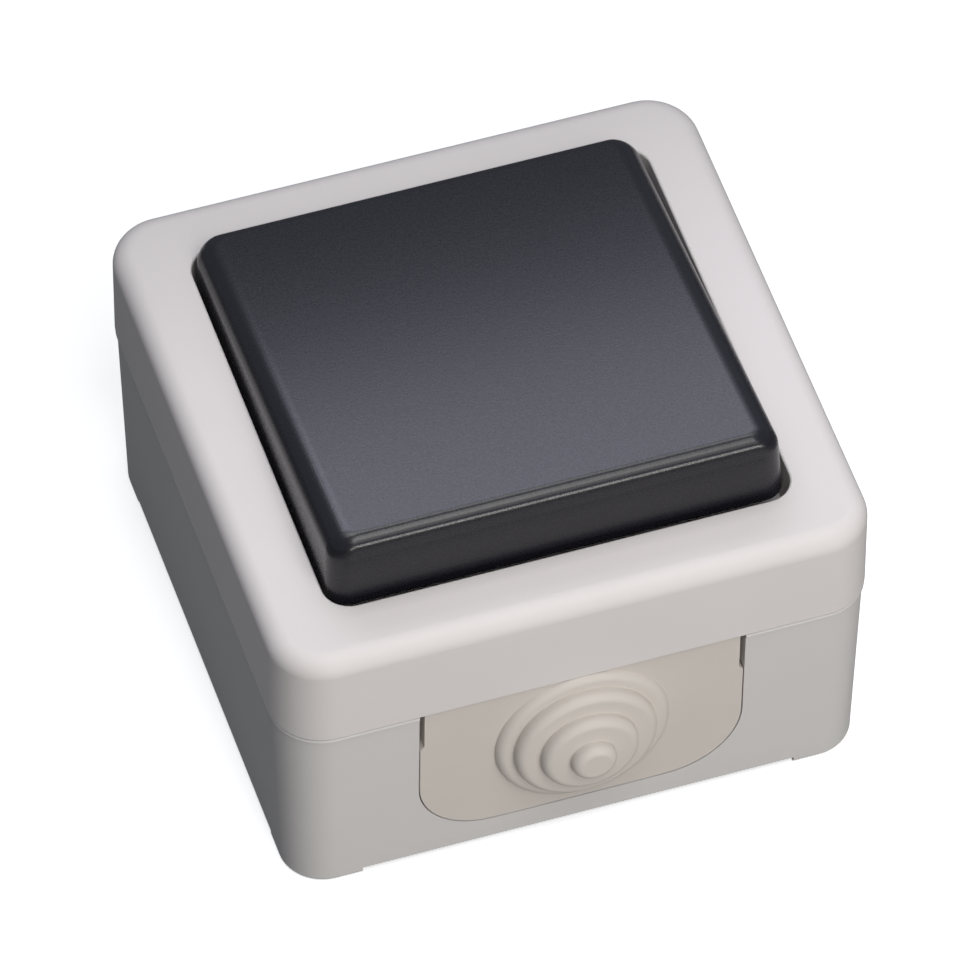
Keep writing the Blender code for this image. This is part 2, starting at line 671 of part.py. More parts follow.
def cover_rib_places():
    """(x, y, runs along Y) of the ribs between the well and the outer wall."""
    middle = (COVER_INNER + WELL_HALF) / 2
    places = []
    for side in (1, -1):
        for offset in (-COVER_RIB_SPACING, COVER_RIB_SPACING):
            places.append((side * middle, offset, False))
            places.append((offset, side * middle, True))
    return places


def cover_gasket(material):
    """Rubber ring that the lip of the base presses against the cover's ledge."""
    inner = LIP_HALF - GASKET_WIDTH
    return loft("cover_gasket", [
        box_outline(LIP_HALF, GASKET_BOTTOM),
        box_outline(LIP_HALF, GASKET_TOP),
        box_outline(inner, GASKET_TOP),
        box_outline(inner, GASKET_BOTTOM),
    ], material, closed=True)


def rocker_levels():
    """(inset across X, inset across Y, height) of the rocker from its skirt to its face."""
    foot = ROCKER_TOP - ROCKER_FILLET
    levels = [(0.0, 0.0, ROCKER_SKIRT)]
    for inset, drop in fillet_levels(ROCKER_FILLET):
        height = ROCKER_TOP - drop
        draft = ROCKER_DRAFT * (min(height, foot) - ROCKER_SKIRT) / (foot - ROCKER_SKIRT)
        rise = max(0.0, ROCKER_END_FILLET - drop)
        end_inset = ROCKER_END_FILLET - sqrt(ROCKER_END_FILLET ** 2 - rise ** 2)
        levels.append((draft + inset, draft + end_inset, height))
    return levels


def rocker_cap(home, material):
    """Rocker shell: soft long edges, tighter ones at both ends, ribs and two clips inside."""
    outlines = []
    for inset_x, inset_y, height in rocker_levels():
        radius = ROCKER_RADIUS - min(ROCKER_END_FILLET, inset_x)
        outlines.append(rounded_rectangle(ROCKER_HALF_X - inset_x, ROCKER_HALF - inset_y,
                                          radius, height))
    cap = loft("rocker_cap", outlines, material)
    cap.parent = home
    ceiling = ROCKER_TOP - ROCKER_PLATE
    inner_x = ROCKER_HALF_X - ROCKER_WALL
    inner_y = ROCKER_HALF - ROCKER_WALL
    slope = ROCKER_FILLET - ROCKER_WALL / 2
    hollow = [(0.0, ROCKER_SKIRT - THROUGH), (0.0, ROCKER_SKIRT),
              (ROCKER_DRAFT, ceiling - slope), (slope, ceiling)]
    cut(cap, loft("cap_hollow", [
        rounded_rectangle(inner_x - inset, inner_y - inset, ROCKER_RADIUS - ROCKER_WALL, height)
        for inset, height in hollow]))
    rib_bottom = ceiling - ROCKER_RIB_DEPTH
    reach_x = inner_x - ROCKER_DRAFT + EMBED
    reach_y = inner_y - ROCKER_DRAFT + EMBED
    for number, side in enumerate((1, -1), 1):
        rib_x, rib_y = side * ROCKER_RIB_X, side * ROCKER_RIB_Y
        add(cap, block(f"cap_rib_long_{number}", (rib_x - ROCKER_RIB / 2, -reach_y, rib_bottom),
                       (rib_x + ROCKER_RIB / 2, reach_y, ceiling + EMBED)))
        add(cap, block(f"cap_rib_cross_{number}", (-reach_x, rib_y - ROCKER_RIB / 2, rib_bottom),
                       (reach_x, rib_y + ROCKER_RIB / 2, ceiling + EMBED)))
    add_clips(cap, ceiling)
    return cap


def add_clips(cap, ceiling):
    """Pads that seat on the cradle's plate, and hooks that hold its two edges from below."""
    plate_top = CRADLE_PLATE_Z + CRADLE_PLATE
    pad_y = CRADLE_HALF_Y / 2
    for number, side in enumerate((1, -1), 1):
        add(cap, block(f"cap_pad_{number}",
                       (-CRADLE_HALF_X, side * pad_y - ROCKER_RIB / 2, plate_top + FIT),
                       (CRADLE_HALF_X, side * pad_y + ROCKER_RIB / 2, ceiling + EMBED)))
        near = CRADLE_HALF_Y + FIT
        far = near + CLIP_THICKNESS
        hook_top = CRADLE_PLATE_Z - FIT
        hook_bottom = hook_top - CLIP_HOOK_HEIGHT
        outline = [(far, ceiling + EMBED), (near, ceiling + EMBED), (near, hook_top),
                   (near - CLIP_HOOK, hook_top), (near, hook_bottom), (far, hook_bottom)]
        points = [(-CLIP_HALF, side * y, z) for y, z in outline]
        add(cap, prism(f"cap_clip_{number}", points, (2 * CLIP_HALF, 0, 0)))


def rocker_cradle(home, material):
    """Frame under the rocker, with its hinge pins and the tube that guides the plunger."""
    plate_top = CRADLE_PLATE_Z + CRADLE_PLATE
    cradle = loft("rocker_cradle", [
        rounded_rectangle(CRADLE_HALF_X, CRADLE_HALF_Y, INSERT_RADIUS, z)
        for z in (CRADLE_PLATE_Z, plate_top)], material)
    cradle.parent = home
    top = CRADLE_PLATE_Z + EMBED
    cheek = [(CHEEK_TOP_HALF, top), (-CHEEK_TOP_HALF, top)]
    for step in range(9):
        angle = pi + pi * step / 8
        cheek.append((CHEEK_RADIUS * cos(angle), CHEEK_RADIUS * sin(angle)))
    for number, side in enumerate((1, -1), 1):
        points = [(side * CHEEK_X, y, z) for y, z in cheek]
        add(cradle, prism(f"cheek_{number}", points, (side * CHEEK_THICKNESS, 0, 0)))
        pin_start = side * (CHEEK_X + EMBED)
        add(cradle, cross_pin(f"hinge_pin_{number}", PIN_RADIUS, pin_start, side * PIN_END_X))
    web = CHEEK_X + EMBED
    add(cradle, block("cradle_web", (-web, -WEB_THICKNESS / 2, -CHEEK_RADIUS / 2),
                      (web, WEB_THICKNESS / 2, top)))
    add(cradle, cylinder("plunger_tube", TUBE_RADIUS, TUBE_BOTTOM, top))
    cut(cradle, cylinder("plunger_bore", BORE_RADIUS, TUBE_BOTTOM - THROUGH, BORE_TOP))
    return cradle


def plunger(home, material):
    """Round-nosed plunger with a spigot that centres the spring."""
    profile = [(0.0, -PLUNGER_REACH)]
    for step in range(1, 7):
        angle = pi / 2 * step / 6
        profile.append((PLUNGER_RADIUS * sin(angle), -TIP_CENTRE - PLUNGER_RADIUS * cos(angle)))
    spigot_top = PLUNGER_SHOULDER + SPIGOT_LENGTH
    profile += [(PLUNGER_RADIUS, PLUNGER_SHOULDER), (SPIGOT_RADIUS, PLUNGER_SHOULDER),
                (SPIGOT_RADIUS, spigot_top - SPIGOT_RADIUS / 2), (SPIGOT_RADIUS / 2, spigot_top),
                (0.0, spigot_top)]
    pin = turned("plunger", profile, material, SMALL_TURN_STEPS)
    pin.parent = home
    return pin


def plunger_spring(home, material):
    """Coil spring in the tube, as a helix curve with a round wire section."""
    bottom = PLUNGER_SHOULDER + FIT + SPRING_WIRE
    top = SPRING_TOP - SPRING_WIRE
    steps_per_turn = 12
    count = SPRING_TURNS * steps_per_turn
    curve = bpy.data.curves.new("plunger_spring", "CURVE")
    curve.dimensions = "3D"
    curve.bevel_depth = SPRING_WIRE
    curve.bevel_resolution = 1
    curve.use_fill_caps = True
    wire = curve.splines.new("POLY")
    wire.points.add(count)
    for index, point in enumerate(wire.points):
        angle = 2 * pi * index / steps_per_turn
        height = bottom + (top - bottom) * index / count
        point.co = (SPRING_RADIUS * cos(angle), SPRING_RADIUS * sin(angle), height, 1.0)
    curve.materials.append(material)
    spring = bpy.data.objects.new("plunger_spring", curve)
    bpy.context.scene.collection.objects.link(spring)
    spring.parent = home
    return spring


def contact_lever(home, material):
    """Seesaw that rocks on the knife edge of the common terminal."""
    bottom = LEVER_TOP - LEVER_THICKNESS
    outline = [(-LEVER_END, LEVER_TOP), (-LEVER_END, bottom), (-SADDLE_LUG, bottom),
               (-SADDLE_LUG + bottom / 3, 0.0)]
    for step in range(9):
        angle = pi - pi * step / 8
        outline.append((SADDLE_RADIUS * cos(angle), SADDLE_RADIUS * sin(angle)))
    outline += [(SADDLE_LUG - bottom / 3, 0.0), (SADDLE_LUG, bottom), (LEVER_END, bottom),
                (LEVER_END, LEVER_TOP)]
    points = [(-LEVER_HALF_WIDTH, y, z) for y, z in outline]
    lever = prism("contact_lever", points, (2 * LEVER_HALF_WIDTH, 0, 0), material)
    lever.parent = home
    cut(lever, cylinder("lever_hole", RIVET_SHANK + FIT, -THROUGH, LEVER_TOP + THROUGH,
                        (0.0, RIVET_PLACE), SMALL_TURN_STEPS))
    return lever


def rivet(name, head_height, grip, material):
    """Contact rivet, face down at z = 0: domed head, shank through the strip, flat tail."""
    crown = head_height / 3
    tail = head_height + grip
    profile = [(0.0, 0.0), (RIVET_HEAD / 2, crown / 4), (RIVET_HEAD, crown),
               (RIVET_HEAD, head_height), (RIVET_SHANK, head_height), (RIVET_SHANK, tail),
               (RIVET_TAIL, tail), (RIVET_TAIL, tail + RIVET_TAIL_HEIGHT / 2),
               (RIVET_TAIL / 2, tail + RIVET_TAIL_HEIGHT), (0.0, tail + RIVET_TAIL_HEIGHT)]
    return turned(name, profile, material, SMALL_TURN_STEPS)


def lever_rivet(home, material):
    """Moving contact in the lever's end."""
    contact = rivet("lever_rivet", RIVET_HEAD_HEIGHT, LEVER_THICKNESS + 2 * FIT, material)
    contact.parent = home
    contact.location = (0, RIVET_PLACE, LEVER_TOP - LEVER_THICKNESS - FIT - RIVET_HEAD_HEIGHT)
    return contact


def contact_point():
    """(y, z) where the moving contact's face stands when the circuit is closed, less a gap."""
    angle = radians(-LEVER_TILT)
    face = LEVER_TOP - LEVER_THICKNESS - FIT - RIVET_HEAD_HEIGHT
    y = RIVET_PLACE * cos(angle) - face * sin(angle)
    z = PIVOT_HEIGHT + RIVET_PLACE * sin(angle) + face * cos(angle)
    return y, z - FIT


def fixed_rivet(material):
    """Fixed contact on the switched terminal's shelf, face up."""
    y, z = contact_point()
    contact = rivet("fixed_rivet", FIXED_HEAD_HEIGHT, STRIP_THICKNESS + 2 * FIT, material)
    contact.location = (0, y, z)
    contact.rotation_euler = (pi, 0, 0)
    return contact


def insert_body(material):
    """Moulded insert: contact chamber, two terminal chambers, wire entries and fixing ears."""
    body = loft("insert_body", [
        rounded_rectangle(INSERT_HALF_X, INSERT_HALF_Y, INSERT_RADIUS, z)
        for z in (INSERT_BOTTOM, INSERT_TOP)], material)
    _, posts = screw_places()
    for number, (x, y) in enumerate(posts, 1):
        side = 1 if x > 0 else -1
        add(body, capsule(f"ear_{number}", (side * (INSERT_HALF_X - EAR_RADIUS / 2), y), (x, y),
                          EAR_RADIUS, EAR_BOTTOM, EAR_TOP))
        cut(body, cylinder(f"ear_hole_{number}", INSERT_SCREW[2] + FIT, EAR_BOTTOM - THROUGH,
                           EAR_TOP + THROUGH, (x, y), SMALL_TURN_STEPS))
    inner_x = INSERT_HALF_X - INSERT_WALL
    cut(body, loft("contact_chamber", [
        rounded_rectangle(inner_x, CHAMBER_HALF_Y, INSERT_RADIUS / 2, z, 2)
        for z in (INSERT_FLOOR_TOP, INSERT_TOP + THROUGH)]))
    middle_y = (PARTITION_OUTER + INSERT_HALF_Y - INSERT_WALL) / 2
    half_y = (INSERT_HALF_Y - INSERT_WALL - PARTITION_OUTER) / 2
    for name, side in (("bottom", -1), ("top", 1)):
        chamber = loft(f"terminal_chamber_{name}", [
            rounded_rectangle(inner_x, half_y, INSERT_RADIUS / 2, z, 2)
            for z in (INSERT_FLOOR_TOP, INSERT_TOP + THROUGH)])
        chamber.location.y = side * middle_y
        cut(body, chamber)
        ends = sorted((side * (INSERT_HALF_Y - INSERT_WALL - THROUGH / 2),
                       side * (INSERT_HALF_Y + THROUGH)))
        cut(body, block(f"wire_entry_{name}", (-CLAMP_HALF_X - FIT, ends[0], INSERT_FLOOR_TOP),
                        (CLAMP_HALF_X + FIT, ends[1], INSERT_FLOOR_TOP + WIRE_WINDOW)))
        slot_y = sorted((side * (CHAMBER_HALF_Y - THROUGH / 2),
                         side * (PARTITION_OUTER + THROUGH / 2)))
        cut(body, block(f"strip_slot_{name}", (-STRIP_HALF_WIDTH - FIT, slot_y[0], INSERT_FLOOR_TOP),
                        (STRIP_HALF_WIDTH + FIT, slot_y[1], STRIP_TOP + FIT)))
    hollow_underside(body, inner_x)
    return body


def hollow_underside(body, inner_x):
    """Cavity under the insert's floor that leaves a boss round each terminal screw."""
    ceiling = INSERT_FLOOR_TOP - INSERT_FLOOR
    inner_y = INSERT_HALF_Y - INSERT_WALL
    cut(body, loft("insert_underside", [
        rounded_rectangle(inner_x, inner_y, INSERT_RADIUS / 2, z, 2)
        for z in (INSERT_BOTTOM - THROUGH, ceiling)]))
    boss_radius = TERMINAL_SCREW[2] + FIT + INSERT_WALL
    for name, side in (("bottom", -1), ("top", 1)):
        place = (0.0, side * TERMINAL_SCREW_Y)
        add(body, cylinder(f"terminal_boss_{name}", boss_radius, INSERT_BOTTOM + FIT,
                           ceiling + EMBED, place, SMALL_TURN_STEPS))
        cut(body, cylinder(f"terminal_hole_{name}", TERMINAL_SCREW[2] + FIT, INSERT_BOTTOM - THROUGH,
                           INSERT_FLOOR_TOP + THROUGH, place, SMALL_TURN_STEPS))


def bearing_frame(material):
    """Lid of the insert, with two forked bearings that take the rocker's hinge pins."""
    frame = loft("bearing_frame", [
        rounded_rectangle(INSERT_HALF_X, PARTITION_OUTER, INSERT_RADIUS, z)
        for z in (FRAME_BOTTOM, FRAME_TOP)], material)
    seat = PIN_RADIUS + FIT
    arm = seat + BEARING_ARM
    top = HINGE_HEIGHT + BEARING_RISE
    outline = [(arm, FRAME_TOP - EMBED), (arm, top), (seat, top)]
    for step in range(9):
        angle = pi * step / 8
        outline.append((seat * cos(angle), HINGE_HEIGHT - seat * sin(angle)))
    outline += [(-seat, top), (-arm, top), (-arm, FRAME_TOP - EMBED)]
    for number, side in enumerate((1, -1), 1):
        points = [(side * BEARING_X, y, z) for y, z in outline]
        add(frame, prism(f"bearing_{number}", points, (side * BEARING_THICKNESS, 0, 0)))
    swing = sin(radians(TILT)) * -TUBE_BOTTOM
    opening_x = TUBE_RADIUS + RUNNING_GAP
    opening_y = TUBE_RADIUS + swing + RUNNING_GAP
    cut(frame, loft("tube_opening", [
        rounded_rectangle(opening_x, opening_y, TUBE_OPENING_RADIUS, z, 4)
        for z in (FRAME_BOTTOM - THROUGH, FRAME_TOP + THROUGH)]))
    return frame


def common_terminal(material):
    """Brass strip from the lower terminal screw to the knife edge that carries the lever."""
    middle = STRIP_BOTTOM + STRIP_THICKNESS / 2
    path = rounded_path([(-STRIP_END, middle), (0.0, middle), (0.0, PIVOT_HEIGHT + KNIFE_RISE)],
                        STRIP_BEND)
    terminal = strip("common_terminal", path, STRIP_HALF_WIDTH, STRIP_THICKNESS, material)
    cut(terminal, terminal_hole("common_hole", -1))
    return terminal


def switched_terminal(material):
    """Brass strip from the upper terminal screw, stepped up to the fixed contact's shelf."""
    middle = STRIP_BOTTOM + STRIP_THICKNESS / 2
    rivet_y, rivet_z = contact_point()
    shelf = rivet_z - FIXED_HEAD_HEIGHT - FIT - STRIP_THICKNESS / 2
    path = rounded_path([(STRIP_END, middle), (SHELF_RISER, middle), (SHELF_RISER, shelf),
                         (SHELF_END, shelf)], STRIP_BEND)
    terminal = strip("switched_terminal", path, STRIP_HALF_WIDTH, STRIP_THICKNESS, material)
    cut(terminal, terminal_hole("switched_hole", 1))
    cut(terminal, cylinder("shelf_hole", RIVET_SHANK + FIT, shelf - THROUGH, shelf + THROUGH,
                           (0.0, rivet_y), SMALL_TURN_STEPS))
    return terminal


def terminal_hole(name, side):
    """Hole for a terminal screw in one of the strips."""
    return cylinder(name, TERMINAL_SCREW[2] + FIT, STRIP_BOTTOM - THROUGH / 2, STRIP_TOP + THROUGH / 2,
                    (0.0, side * TERMINAL_SCREW_Y), SMALL_TURN_STEPS)


def wire_clamp(name, side, material):
    """Square washer with turned-up sides that presses the wire on the strip."""
    middle = CLAMP_THICKNESS / 2
    side_x = CLAMP_HALF_X - middle
    path = rounded_path([(-side_x, CLAMP_LIP), (-side_x, middle), (side_x, middle),
                         (side_x, CLAMP_LIP)], CLAMP_BEND)
    clamp = strip(name, path, CLAMP_HALF_Y, CLAMP_THICKNESS, material, along_x=False)
    clamp.location = (0, side * TERMINAL_SCREW_Y, CLAMP_BOTTOM)
    hole = cylinder(name + "_hole", TERMINAL_SCREW[2] + FIT, -THROUGH / 2, CLAMP_THICKNESS + THROUGH / 2,
                    steps=SMALL_TURN_STEPS)
    hole.location = clamp.location
    cut(clamp, hole)
    return clamp


def screw(name, size, place, material):
    """Pan head screw, its seat at z = 0, with a cross recess and a pointed end."""
    head_radius, head_height, shank_radius, length = size
    profile = [(0.0, -length), (shank_radius, -length + shank_radius), (shank_radius, 0.0),
               (head_radius, 0.0), (head_radius, head_height * PAN_RIM)]
    for angle in (radians(30), radians(60)):
        profile.append((head_radius * (PAN_FLAT + (1 - PAN_FLAT) * cos(angle)),
                        head_height * (PAN_RIM + (1 - PAN_RIM) * sin(angle))))
    profile += [(head_radius * PAN_FLAT, head_height), (0.0, head_height)]
    body = turned(name, profile, material, SMALL_TURN_STEPS)
    body.location = place
    reach = head_radius * RECESS_REACH
    floor = head_height * (1 - RECESS_REACH)
    half = RECESS_WIDTH / 2
    for label, half_x, half_y in (("a", reach, half), ("b", half, reach)):
        slot = block(f"{name}_recess_{label}", (-half_x, -half_y, floor),
                     (half_x, half_y, head_height + THROUGH))
        slot.location = place
        cut(body, slot)
    return body


def build():
    clear_scene()
    white = plastic_or_metal("warm_white_plastic", (0.74, 0.70, 0.68), 0.45)
    white_base = plastic_or_metal("warm_white_base", (0.70, 0.67, 0.65), 0.5)
    anthracite = plastic_or_metal("anthracite_plastic", (0.055, 0.057, 0.065), 0.42)
    grey_rubber = plastic_or_metal("warm_grey_rubber", (0.62, 0.57, 0.53), 0.6)
    black_rubber = plastic_or_metal("black_rubber", (0.03, 0.03, 0.03), 0.7)
    insert_plastic = plastic_or_metal("insert_plastic", (0.55, 0.56, 0.58), 0.5)
    frame_plastic = plastic_or_metal("bearing_plastic", (0.80, 0.79, 0.76), 0.5)
    red_plastic = plastic_or_metal("plunger_plastic", (0.45, 0.10, 0.07), 0.45)
    brass = plastic_or_metal("brass_strip", (0.78, 0.57, 0.25), 0.35, 1.0)
    copper = plastic_or_metal("copper_lever", (0.80, 0.45, 0.30), 0.35, 1.0)
    silver = plastic_or_metal("contact_silver", (0.85, 0.84, 0.82), 0.3, 1.0)
    zinc = plastic_or_metal("zinc_steel", (0.66, 0.67, 0.68), 0.35, 1.0)
    spring_steel = plastic_or_metal("spring_steel", (0.5, 0.5, 0.52), 0.3, 1.0)

    base_box(white_base)
    cover_frame(white)
    cover_gasket(black_rubber)
    cable_grommet("cable_grommet_bottom", 0.0, grey_rubber)
    cable_grommet("cable_grommet_top", 180.0, grey_rubber)

    hinge = pivot("rocker_hinge", (0, 0, HINGE_HEIGHT), turn_x=-TILT)
    rocker_cap(hinge, anthracite)
    rocker_cradle(hinge, frame_plastic)
    plunger(hinge, red_plastic)
    plunger_spring(hinge, spring_steel)

    knife = pivot("lever_pivot", (0, 0, PIVOT_HEIGHT), turn_x=LEVER_TILT)
    contact_lever(knife, copper)
    lever_rivet(knife, silver)
    fixed_rivet(silver)

    insert_body(insert_plastic)
    bearing_frame(frame_plastic)
    common_terminal(brass)
    switched_terminal(brass)
    for name, side in (("bottom", -1), ("top", 1)):
        wire_clamp(f"wire_clamp_{name}", side, zinc)
        seat = CLAMP_BOTTOM + CLAMP_THICKNESS + FIT
        screw(f"terminal_screw_{name}", TERMINAL_SCREW, (0, side * TERMINAL_SCREW_Y, seat), zinc)
    pillars, posts = screw_places()
    for number, (x, y) in enumerate(pillars, 1):
        screw(f"cover_screw_{number}", COVER_SCREW, (x, y, WELL_FLOOR_TOP + FIT), zinc)
    for number, (x, y) in enumerate(posts, 1):
        screw(f"insert_screw_{number}", INSERT_SCREW, (x, y, EAR_TOP + FIT), zinc)


build()
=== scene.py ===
# %% [markdown]
# # Surface mounted light switch, made ready for its portrait
#
# The object is a square plastic switch that is screwed on a wall: a base with rubber cable
# entries, a cover frame that closes it, and one wide rocker that tilts in the cover's window.
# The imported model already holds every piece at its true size, as plain faceted solids. This lesson
# models the pieces that one sees again, finely and with the tools that one would use by hand, and
# gives every piece its finish.

import json
from contextlib import contextmanager
from math import cos, degrees, hypot, pi, radians, sin, sqrt

import bmesh
import bpy
from mathutils import Matrix, Vector


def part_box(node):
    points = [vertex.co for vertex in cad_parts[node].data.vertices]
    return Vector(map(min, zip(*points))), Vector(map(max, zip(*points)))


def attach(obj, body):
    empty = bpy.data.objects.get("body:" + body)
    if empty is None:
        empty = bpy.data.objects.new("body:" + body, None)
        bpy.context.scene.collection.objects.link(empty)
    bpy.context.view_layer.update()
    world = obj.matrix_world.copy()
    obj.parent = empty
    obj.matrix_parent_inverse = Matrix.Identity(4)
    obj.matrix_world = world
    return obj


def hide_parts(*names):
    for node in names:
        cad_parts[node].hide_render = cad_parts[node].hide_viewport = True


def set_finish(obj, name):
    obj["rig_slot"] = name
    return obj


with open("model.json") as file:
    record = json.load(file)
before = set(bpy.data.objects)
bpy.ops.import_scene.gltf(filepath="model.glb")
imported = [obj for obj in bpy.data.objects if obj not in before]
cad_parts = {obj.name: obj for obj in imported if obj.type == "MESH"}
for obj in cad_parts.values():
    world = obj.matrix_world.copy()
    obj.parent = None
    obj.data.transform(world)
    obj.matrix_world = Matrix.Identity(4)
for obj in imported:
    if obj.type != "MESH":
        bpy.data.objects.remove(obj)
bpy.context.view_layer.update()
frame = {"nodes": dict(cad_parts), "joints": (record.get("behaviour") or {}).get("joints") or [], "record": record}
print("pieces in the packed model:", len(frame["nodes"]))

# %% [markdown]
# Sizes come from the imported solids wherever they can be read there, so that a finer piece sits
# exactly where the plain one does. The rocker's hinge and its tilt come from the joint: it rests at
# one end of its travel, so it leans by half of that travel.

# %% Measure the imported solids
MM = 0.001
cover_low, cover_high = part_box("cover_frame")
base_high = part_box("base_box")[1]
tilt_joint = next(joint for joint in frame["joints"] if joint["name"] == "rocker_tilt")
HINGE = Vector(tilt_joint["pos_m"])
TILT = radians(tilt_joint["range_deg"][1] / 2)
COVER_HALF, COVER_BOTTOM, COVER_TOP = cover_high.x, cover_low.z, cover_high.z
RIM_HALF, PILLAR_TOP = base_high.x, base_high.z
LIP_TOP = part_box("cable_grommet_bottom")[1].z
GASKET_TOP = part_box("cover_gasket")[1].z
COVER_SCREW_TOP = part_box("cover_screw_1")[1].z
INSERT_SCREW_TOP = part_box("insert_screw_1")[1].z
print(f"cover {2 * COVER_HALF / MM:.1f} mm wide, face at {COVER_TOP / MM:.1f} mm")
print(f"hinge at {HINGE.z / MM:.1f} mm, rocker leans {degrees(TILT):.1f} degrees")

# %% [markdown]
# Operators act on all that is selected, so each step starts from a clean selection. Six small
# helpers cover most of the modelling. One makes a single piece active, one opens edit mode, and one
# selects faces, edges or points by where they are. Two move what is selected: up by an extrusion, or
# in towards the middle. The last one applies a Boolean.

# %% Helpers for selecting and for edit mode
TOUCH = 0.01 * MM        # how near a point counts as lying on a plane
ALONG = 0.99             # cosine above which a direction counts as lying along an axis


def only(piece):
    """Make one piece the only selected one, and the active one."""
    bpy.ops.object.select_all(action="DESELECT")
    piece.select_set(True)
    bpy.context.view_layer.objects.active = piece


@contextmanager
def editing(piece):
    """Edit mode on one piece."""
    only(piece)
    bpy.ops.object.mode_set(mode="EDIT")
    yield
    bpy.ops.object.mode_set(mode="OBJECT")


def choose(piece, kind, test):
    """In edit mode, select the points, edges or faces whose middle passes a test, and count them."""
    bpy.ops.mesh.select_mode(type=kind)
    bpy.ops.mesh.select_all(action="DESELECT")
    shape = bmesh.from_edit_mesh(piece.data)
    items = {"VERT": shape.verts, "EDGE": shape.edges, "FACE": shape.faces}[kind]
    count = 0
    for item in items:
        if kind == "VERT":
            middle, direction = item.co, item.normal
        elif kind == "EDGE":
            first, second = item.verts[0].co, item.verts[1].co
            middle, direction = (first + second) / 2, (second - first).normalized()
        else:
            middle, direction = item.calc_center_median(), item.normal
        if test(middle, direction):
            item.select_set(True)
            count += 1
    shape.select_flush_mode()
    bmesh.update_edit_mesh(piece.data)
    return count


def push(distance):
    """Extrude what is selected along Z."""
    bpy.ops.mesh.extrude_region_move(TRANSFORM_OT_translate={"value": (0, 0, distance)})


def pull_in(piece, axis, above, distance):
    """Move the points above a height towards the middle, from both ends of one axis."""
    for side in (1, -1):
        choose(piece, "VERT", lambda middle, normal: middle.z > above and side * middle[axis] > 0)
        shift = [0.0, 0.0, 0.0]
        shift[axis] = -side * distance
        bpy.ops.transform.translate(value=shift)


def solid(target, operation, *tools):
    """Join or cut a piece with others by Booleans that are applied at once."""
    for tool in tools:
        only(target)
        boolean = target.modifiers.new("solid", "BOOLEAN")
        boolean.operation = operation
        boolean.solver = "EXACT"
        boolean.object = tool
        bpy.ops.object.modifier_apply(modifier=boolean.name)
        bpy.data.objects.remove(tool)


# %% [markdown]
# Nearly everything here starts as a block or a round bar, so these helpers add one at its size and
# place. A rounded block is a cube whose upright edges are bevelled in edit mode: a bevel with many
# segments is a true arc, and it keeps the flat sides flat, which scaling would not. Every piece ends
# with the same shading: smooth across small angles, sharp at real edges, and with normals that
# follow the large faces, so that the flat sides stay free of stray gradients.

# %% Helpers for the first shapes and for the shading
ARC = 14                 # segments of a large round corner
ROLL_ARC = 12            # segments where the cover's walls roll into its face
SMALL_ARC = 5            # segments of a small edge
TINY_ARC = 3             # segments of an edge that is only just broken
BAR_SIDES = 40
HOLE_SIDES = 24


def block(name, low, high):
    """Block between two corners."""
    bpy.ops.object.select_all(action="DESELECT")
    low, high = Vector(low), Vector(high)
    bpy.ops.mesh.primitive_cube_add(size=1.0, location=(low + high) / 2)
    piece = bpy.context.object
    piece.scale = high - low
    bpy.ops.object.transform_apply()
    piece.name = piece.data.name = name
    return piece


def rounded_block(name, half_x, half_y, radius, bottom, top, place=(0.0, 0.0), segments=ARC):
    """Block with round upright corners."""
    x, y = place
    piece = block(name, (x - half_x, y - half_y, bottom), (x + half_x, y + half_y, top))
    with editing(piece):
        choose(piece, "EDGE", lambda middle, along: abs(along.z) > ALONG)
        bpy.ops.mesh.bevel(offset=radius, segments=segments, affect="EDGES", clamp_overlap=False)
    return piece


def bar(name, radius, bottom, top, place=(0.0, 0.0), sides=BAR_SIDES):
    """Upright round bar."""
    bpy.ops.object.select_all(action="DESELECT")
    bpy.ops.mesh.primitive_cylinder_add(vertices=sides, radius=radius, depth=top - bottom,
                                        location=(*place, (bottom + top) / 2))
    bpy.ops.object.transform_apply()
    piece = bpy.context.object
    piece.name = piece.data.name = name
    return piece


def finish_surface(piece, angle=35.0):
    """Shade smooth between real edges, and let the large faces rule the normals."""
    only(piece)
    bpy.ops.object.shade_smooth_by_angle(angle=radians(angle))
    weights = piece.modifiers.new("weights", "WEIGHTED_NORMAL")
    weights.keep_sharp = True
    weights.weight = 100
    bpy.ops.object.modifier_apply(modifier=weights.name)
    print(f"{piece.name}: {len(piece.data.polygons)} faces")


# %% [markdown]
# The cover is one injection moulding in ABS with walls of about 1.6 mm. Its look rests on three
# radii: 5.8 mm at the corners, 2.3 mm where the walls roll into the face, and a tight 0.3 mm at the
# window. A subdivision surface would soften all of them alike, so the block is bevelled with a true
# radius for each. The inside is made from below, by inset and extrude.

# %% Cover: the outer shell and the space inside it
COVER_CORNER = 5.8 * MM
COVER_ROLL = 2.3 * MM
COVER_WALL = 1.6 * MM
COVER_PLATE = 2.0 * MM
EDGE_BREAK = 0.12 * MM
inner_half = COVER_HALF - COVER_WALL
plate_bottom = COVER_TOP - COVER_PLATE

cover = rounded_block("cover_shell", COVER_HALF, COVER_HALF, COVER_CORNER, COVER_BOTTOM, COVER_TOP)
with editing(cover):
    choose(cover, "EDGE", lambda middle, along: middle.z > COVER_TOP - TOUCH)
    bpy.ops.mesh.bevel(offset=COVER_ROLL, segments=ROLL_ARC, affect="EDGES")
    choose(cover, "EDGE", lambda middle, along: middle.z < COVER_BOTTOM + TOUCH)
    bpy.ops.mesh.bevel(offset=EDGE_BREAK, segments=TINY_ARC, affect="EDGES")
    choose(cover, "FACE", lambda middle, normal: normal.z < -ALONG)
    bpy.ops.mesh.inset(thickness=COVER_WALL - EDGE_BREAK)
    push(plate_bottom - (COVER_ROLL - COVER_WALL) - COVER_BOTTOM)
    bpy.ops.mesh.inset(thickness=COVER_ROLL - COVER_WALL, depth=COVER_WALL - COVER_ROLL)
